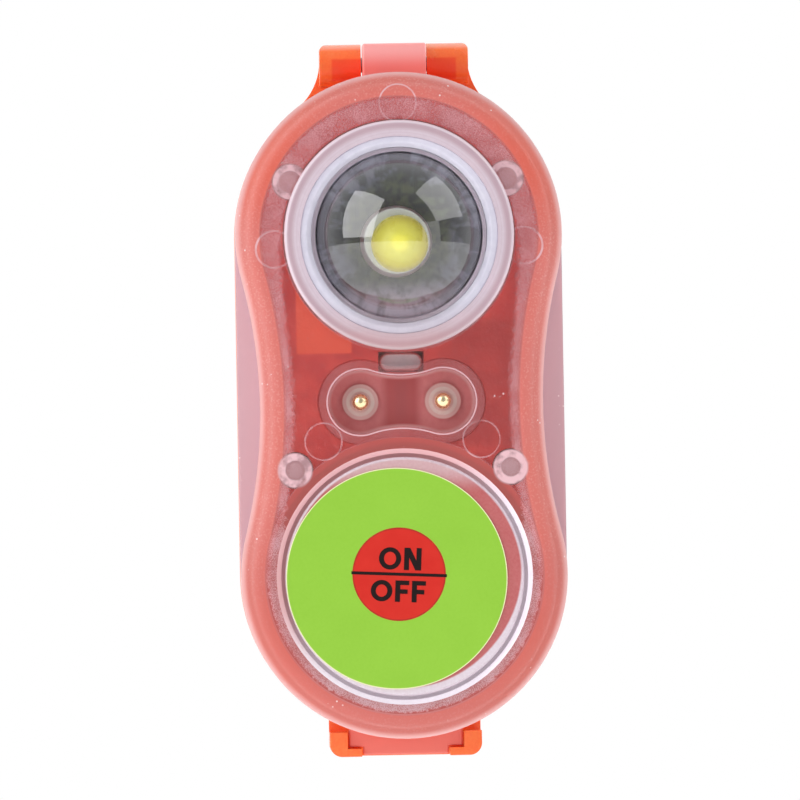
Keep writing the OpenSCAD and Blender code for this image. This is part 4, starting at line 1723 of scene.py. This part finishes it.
@dataclass
class LabelPrinter:
    """Draws the button's two words and the line between them as thin ink.

    Attributes:
        palette: Hands out the materials.
        layout: Places of the features.
        tilt_deg: How far the label is turned clockwise.
        stroke: Width of the letters' strokes, in millimetres.
        film: Thickness of the ink, in millimetres.
        divider_half: Half the length of the line between the words, in millimetres.
        divider_thick: Thickness of that line, in millimetres.
        upper: The word above the line.
        lower: The word below it.
    """

    palette: Palette
    layout: Layout
    tilt_deg: float = 2.8
    stroke: float = 0.53
    film: float = 0.02
    divider_half: float = 5.05
    divider_thick: float = 0.32
    upper: Word = Word("ON", 0.06, 0.46, 2.36, (2.35, 1.82), 0.32)
    lower: Word = Word("OFF", -0.04, -2.92, 2.26, (2.28, 1.46, 1.46), 0.30)

    def build(self) -> Printing:
        """Prints both words and the divider.

        Returns:
            The printed pieces.
        """
        letters = (self._word(self.upper), self._word(self.lower))
        half, rise = self.divider_half, self.divider_thick / 2
        bar = box_outline(-half, -rise, half, rise)
        divider = self._print([bar], [], "ink_divider")
        return Printing(letters, divider)

    def _word(self, word: Word) -> bpy.types.Object:
        """Sets letters side by side about a middle.

        Args:
            word: The word and its sizes.

        Returns:
            The printed word.
        """
        total = sum(word.widths) + word.gap * (len(word.widths) - 1)
        left = word.middle - total / 2
        solids: list[list[Point2]] = []
        rings: list[tuple[list[Point2], list[Point2]]] = []
        for letter, width in zip(word.text, word.widths):
            if letter == "O":
                outer, inner = self._round(width, word.height)
                rings.append((shifted(outer, left, word.base), shifted(inner, left, word.base)))
            else:
                draw = self._letter_n if letter == "N" else self._letter_f
                solids.extend(shifted(stroke, left, word.base) for stroke in draw(width, word.height))
            left += width + word.gap
        return self._print(solids, rings, f"ink_{word.text.lower()}")

    def _round(self, width: float, height: float) -> tuple[list[Point2], list[Point2]]:
        """Outer and inner outline of an O.

        Args:
            width: Its width.
            height: Its height.

        Returns:
            The two outlines.
        """
        outer = circle_points(width / 2, 48, height / width)
        inner_width, inner_height = width - 2 * self.stroke, height - 1.8 * self.stroke
        inner = circle_points(inner_width / 2, 48, inner_height / inner_width)
        return shifted(outer, width / 2, height / 2), shifted(inner, width / 2, height / 2)

    def _letter_n(self, w: float, h: float) -> list[list[Point2]]:
        """Strokes of an N: two stems and a slanted bar.

        Args:
            w: Its width.
            h: Its height.

        Returns:
            The outline of each stroke.
        """
        s = self.stroke
        slant = [(0.0, h), (s * 1.15, h), (w, 0.0), (w - s * 1.15, 0.0)]
        return [box_outline(0, 0, s, h), box_outline(w - s, 0, w, h), slant]

    def _letter_f(self, w: float, h: float) -> list[list[Point2]]:
        """Strokes of an F: a stem and two bars.

        Args:
            w: Its width.
            h: Its height.

        Returns:
            The outline of each stroke.
        """
        s = self.stroke
        middle = h * 0.5
        return [
            box_outline(0, 0, s, h),
            box_outline(0, h - s * 0.88, w, h),
            box_outline(0, middle - s * 0.5, w * 0.9, middle + s * 0.38),
        ]

    def _spot(self, point: Point2, front: bool, layer: int = 0) -> Vector:
        """Places a point of the print on the label, turned with it, each stroke a hair above the last.

        Args:
            point: The point on the label, in millimetres.
            front: Whether it is on the ink's front.
            layer: Number of the stroke.

        Returns:
            The point in the row frame.
        """
        turn = math.radians(-self.tilt_deg)
        x = point[0] * math.cos(turn) - point[1] * math.sin(turn)
        z = point[0] * math.sin(turn) + point[1] * math.cos(turn)
        centre = self.layout.disc
        y = self.layout.label_y - ((self.film + 0.002 * layer) * MM if front else -0.005 * MM)
        return Vector((centre.x + x * MM, y, centre.z + z * MM))

    def _print(
        self,
        solids: Sequence[Sequence[Point2]],
        rings: Sequence[tuple[Sequence[Point2], Sequence[Point2]]],
        name: str,
    ) -> bpy.types.Object:
        """Makes thin closed ink shapes from outlines.

        Args:
            solids: Outlines of plain strokes.
            rings: Outer and inner outlines of letters with a hole.
            name: Name of the piece.

        Returns:
            The printed piece.
        """
        bm = bmesh.new()
        for layer, outline in enumerate(solids):
            front = [bm.verts.new(self._spot(p, True, layer)) for p in outline]
            back = [bm.verts.new(self._spot(p, False)) for p in outline]
            bm.faces.new(front)
            bm.faces.new(back[::-1])
            self._wall(bm, front, back)
        for outer, inner in rings:
            loops = [
                [bm.verts.new(self._spot(p, front)) for p in line]
                for line in (outer, inner)
                for front in (True, False)
            ]
            self._wall(bm, loops[0], loops[1])
            self._wall(bm, loops[2], loops[3])
            self._wall(bm, loops[0], loops[2])
            self._wall(bm, loops[1], loops[3])
        mesh = mesh_from(bm, name)
        mesh.shade_flat()
        return link(mesh, name, Finish.INK, self.palette, "button")

    def _wall(self, bm: bmesh.types.BMesh, first: Sequence, second: Sequence) -> None:
        """Joins two loops of the same length with quads.

        Args:
            bm: The mesh being built.
            first: One loop.
            second: The other loop.
        """
        count = len(first)
        for i in range(count):
            j = (i + 1) % count
            bm.faces.new((first[i], first[j], second[j], second[i]))


@dataclass
class LensBuilder:
    """Shapes the clear dome as one smooth cap over its flange. Its own sizes are in millimetres.

    Attributes:
        palette: Hands out the materials.
        layout: Places of the features.
        retainer_width: Width of the ring that holds the dome.
        chamfer: Broken edge of the flange.
        flange_gap: Gap between the flange and the ring.
        root: Width of the flat between the dome and the ring.
        steps: Rows of faces from the dome's edge to its crown.
        sides: Faces around the dome.
    """

    palette: Palette
    layout: Layout
    retainer_width: float = 1.55
    chamfer: float = 0.15
    flange_gap: float = 0.02
    root: float = 0.12
    steps: int = 40
    sides: int = 128

    def build(self) -> bpy.types.Object:
        """Turns the dome's section about the lens axis.

        Returns:
            The finished lens.
        """
        low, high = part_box("lens_dome")
        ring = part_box("lens_retainer")[1]
        base_radius = (ring.x - self.layout.lens.x) - self.retainer_width * MM
        rise = ring.y - low.y
        ball = (base_radius**2 + rise**2) / (2 * rise)
        centre_y = low.y + ball
        section = [
            (0.0, high.y),
            (high.x - self.chamfer * MM, high.y),
            (high.x, high.y - self.chamfer * MM),
            (high.x, ring.y + self.flange_gap * MM),
            (base_radius + self.root * MM, ring.y),
        ]
        start = math.asin(base_radius / ball)
        turns = [start * (1 - i / self.steps) for i in range(self.steps + 1)]
        section.extend((ball * math.sin(t), centre_y - ball * math.cos(t)) for t in turns)
        LOG.info("lens ball %.2f mm", ball / MM)
        mesh = self._turn(section, "lens_dome_clear")
        piece = link(mesh, "lens_dome_clear", Finish.LENS, self.palette, "housing")
        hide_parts("lens_dome")
        return piece

    def _turn(self, section: Sequence[Point2], name: str) -> bpy.types.Mesh:
        """Spins a section about the lens axis.

        Args:
            section: Radius and Y of each point, from the middle of the back to the crown.
            name: Name of the mesh.

        Returns:
            The mesh.
        """
        bm = bmesh.new()
        centre = self.layout.lens
        loops: list[list[bmesh.types.BMVert]] = []
        for radius, y in section:
            on_axis = radius < MM * 1e-4
            ring = [(0.0, 0.0)] if on_axis else circle_points(radius, self.sides)
            loops.append([bm.verts.new((centre.x + u, y, centre.z + v)) for u, v in ring])
        for first, second in zip(loops, loops[1:]):
            for i in range(self.sides):
                j = (i + 1) % self.sides
                near = (first[i % len(first)], first[j % len(first)])
                far = (second[j % len(second)], second[i % len(second)])
                bm.faces.new(dict.fromkeys(near + far))
        return mesh_from(bm, name)


# Each CAD node's finish, and the radius of its rounded edges in millimetres.
NODE_FINISHES: dict[str, tuple[Finish, float]] = {
    "rear_cover": (Finish.BASE, 0.2),
    "body_gasket": (Finish.SEAL, 0.0),
    "inner_chassis": (Finish.LINER, 0.15),
    "lens_seal": (Finish.SOFT_SEAL, 0.0),
    "lens_retainer": (Finish.RETAINER, 0.12),
    "circuit_board": (Finish.BOARD, 0.0),
    "led_base": (Finish.LED_BASE, 0.12),
    "led_phosphor_cap": (Finish.PHOSPHOR, 0.0),
    "driver_chip": (Finish.CHIP, 0.06),
    "sense_chip": (Finish.CHIP, 0.06),
    "resonator_can": (Finish.CAN, 0.2),
    "chip_resistors": (Finish.CHIP, 0.05),
    "storage_capacitor": (Finish.CAPACITOR, 0.1),
    "coin_cells": (Finish.CELL, 0.0),
    "cell_carrier": (Finish.CARRIER, 0.0),
    "cell_link_strap": (Finish.NICKEL, 0.0),
    "cell_tabs": (Finish.NICKEL, 0.0),
    "cell_pad": (Finish.FOAM, 0.3),
    "contact_pins": (Finish.GOLD, 0.0),
    "contact_seals": (Finish.SEAL, 0.0),
    "board_screws": (Finish.SCREW, 0.0),
    "button_cap": (Finish.CAP, 0.0),
    "button_seal": (Finish.SEAL, 0.0),
    "button_stop": (Finish.SEAL, 0.0),
    "button_label": (Finish.GREEN, 0.0),
    "button_centre": (Finish.RED, 0.0),
    "switch_body": (Finish.SWITCH, 0.08),
    "switch_plunger": (Finish.PLUNGER, 0.1),
    "hinge_pin": (Finish.SCREW, 0.1),
    "clip_plate": (Finish.CLIP, 0.25),
}


@dataclass
class Dresser:
    """Gives every other CAD node its material and edges.

    Attributes:
        palette: Hands out the materials.
    """

    palette: Palette

    def build(self, nodes: dict[str, bpy.types.Object]) -> None:
        """Dresses the nodes in the plan.

        Args:
            nodes: CAD nodes by name.
        """
        for name, (finish, radius) in NODE_FINISHES.items():
            node = nodes[name]
            for slot in node.material_slots:
                slot.link = "OBJECT"
                slot.material = self.palette.get(finish)
            if radius:
                soften(node, radius)
            LOG.info("node %s in %s", name, finish.value)


# ------------------------------------------------------------------------------------------------
# Studio


@dataclass(frozen=True)
class Softbox:
    """A soft light.

    Attributes:
        name: Name of the light.
        place: Where it stands.
        size: Width and height.
        power: Watts.
        colour: Its tint.
    """

    name: str
    place: Vector
    size: Point2
    power: float
    colour: Colour = (1.0, 1.0, 1.0)


@dataclass
class Studio:
    """Camera, floor and light.

    Attributes:
        centre: Middle of the object.
        floor_z: Height of the floor.
        view_width: Width of the view at the object.
        distance: From the camera to the object.
        roll_deg: How far the object leans in the view.
        azimuth_deg: How far the camera stands to the side.
        aim_offset: Where the camera aims, from the frame's origin.
    """

    centre: Vector
    floor_z: float
    view_width: float = 0.0848
    distance: float = 3.0
    roll_deg: float = 1.0
    azimuth_deg: float = 0.7
    aim_offset: Vector = field(default_factory=lambda: Vector((-0.00008, -0.009, 0.00056)))

    def build(self) -> None:
        """Builds the whole studio."""
        self._camera()
        self._floor()
        self._world()
        for box in (
            Softbox("softbox_left", Vector((-0.68, -0.44, 0.39)), (0.8, 0.9), 5.4),
            Softbox("softbox_right", Vector((0.64, -0.18, 0.55)), (0.75, 0.7), 2.3),
            Softbox("softbox_fill", Vector((0.75, -0.80, -0.15)), (0.5, 1.0), 1.3),
            Softbox("softbox_table", Vector((0.0, -0.50, -0.62)), (1.1, 0.6), 3.6),
        ):
            self._softbox(box)
        bpy.context.scene.view_settings.view_transform = "Standard"
        bpy.context.scene.view_settings.look = "None"

    def _camera(self) -> None:
        """Long lens straight at the front, rolled to the pose of the light."""
        data = bpy.data.cameras.new("camera")
        data.sensor_width = 36.0
        data.lens = 36.0 * self.distance / self.view_width
        data.clip_end = 10.0
        data.dof.use_dof = False
        camera = bpy.data.objects.new("camera", data)
        bpy.context.scene.collection.objects.link(camera)
        turn = Matrix.Rotation(math.radians(-self.azimuth_deg), 4, "Z")
        camera.location = self.aim_offset + turn @ Vector((0.0, -self.distance, 0.0))
        camera.rotation_mode = "XYZ"
        look = Matrix.Rotation(math.radians(90), 4, "X")
        roll = Matrix.Rotation(math.radians(-self.roll_deg), 4, "Z")
        camera.rotation_euler = (turn @ look @ roll).to_euler()
        bpy.context.scene.camera = camera

    def _floor(self) -> None:
        """Pale round floor below the object."""
        bm = bmesh.new()
        bmesh.ops.create_circle(bm, cap_ends=True, radius=0.6, segments=96)
        mesh = mesh_from(bm, "floor")
        material = bpy.data.materials.new("floor_paper")
        material.use_nodes = True
        shader = material.node_tree.nodes["Principled BSDF"]
        shader.inputs["Base Color"].default_value = (0.95, 0.95, 0.95, 1.0)
        shader.inputs["Roughness"].default_value = 0.9
        shader.inputs["Emission Color"].default_value = (1.0, 1.0, 1.0, 1.0)
        shader.inputs["Emission Strength"].default_value = 0.35
        mesh.materials.append(material)
        floor = bpy.data.objects.new("floor", mesh)
        bpy.context.scene.collection.objects.link(floor)
        floor.location.z = self.floor_z
        floor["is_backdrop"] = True

    def _world(self) -> None:
        """White all round for the camera, and a dimmer front for reflections."""
        world = bpy.data.worlds.new("studio")
        bpy.context.scene.world = world
        world.use_nodes = True
        world.node_tree.nodes.clear()
        graph = Graph(world.node_tree)
        split = graph.add("ShaderNodeSeparateXYZ")
        graph.feed(split.inputs[0], graph.add("ShaderNodeTexCoord").outputs["Generated"])
        behind = graph.mask(split.outputs[1], -0.2, 0.5)
        tone = graph.blend(behind, (0.50, 0.50, 0.52), (1.0, 1.0, 1.0))
        tone = graph.blend(graph.mask(split.outputs[1], -0.4, -0.9), tone, (0.30, 0.31, 0.33))
        tone = graph.blend(graph.mask(split.outputs[2], -0.2, -0.7), tone, (0.60, 0.60, 0.62))
        path = graph.add("ShaderNodeLightPath")
        shown = graph.blend(path.outputs["Is Camera Ray"], tone, (1.0, 1.0, 1.0))
        background = graph.add("ShaderNodeBackground")
        graph.feed(background.inputs["Color"], shown)
        output = graph.add("ShaderNodeOutputWorld")
        graph.feed(output.inputs["Surface"], background.outputs[0])

    def _softbox(self, box: Softbox) -> None:
        """Adds one area light aimed at the object.

        Args:
            box: The light's place, size and power.
        """
        data = bpy.data.lights.new(box.name, "AREA")
        data.shape = "RECTANGLE"
        data.size, data.size_y = box.size
        data.energy = box.power
        data.color = box.colour
        light = bpy.data.objects.new(box.name, data)
        bpy.context.scene.collection.objects.link(light)
        light.location = box.place
        light.rotation_euler = (box.place - self.centre).to_track_quat("Z", "Y").to_euler()
        LOG.info("light %s", box.name)


# ------------------------------------------------------------------------------------------------
# Assembly


def main() -> None:
    """Builds the whole scene around the frame."""
    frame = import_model()
    cad_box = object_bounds()
    layout = Layout.from_frame()
    palette = Palette(EffectLibrary(layout).build(), layout)
    Studio(centre=(cad_box[0] + cad_box[1]) / 2, floor_z=cad_box[0].z - 0.03).build()
    Dresser(palette).build(frame["nodes"])
    housing = HousingBuilder(palette, layout).build()
    lens = LensBuilder(palette, layout).build()
    print_work = LabelPrinter(palette, layout).build()
    pieces = (housing.cover, housing.frost, lens, *print_work.letters, print_work.divider)
    LOG.info("added pieces: %s", ", ".join(piece.name for piece in pieces))


if __name__ == "__main__":
    main()
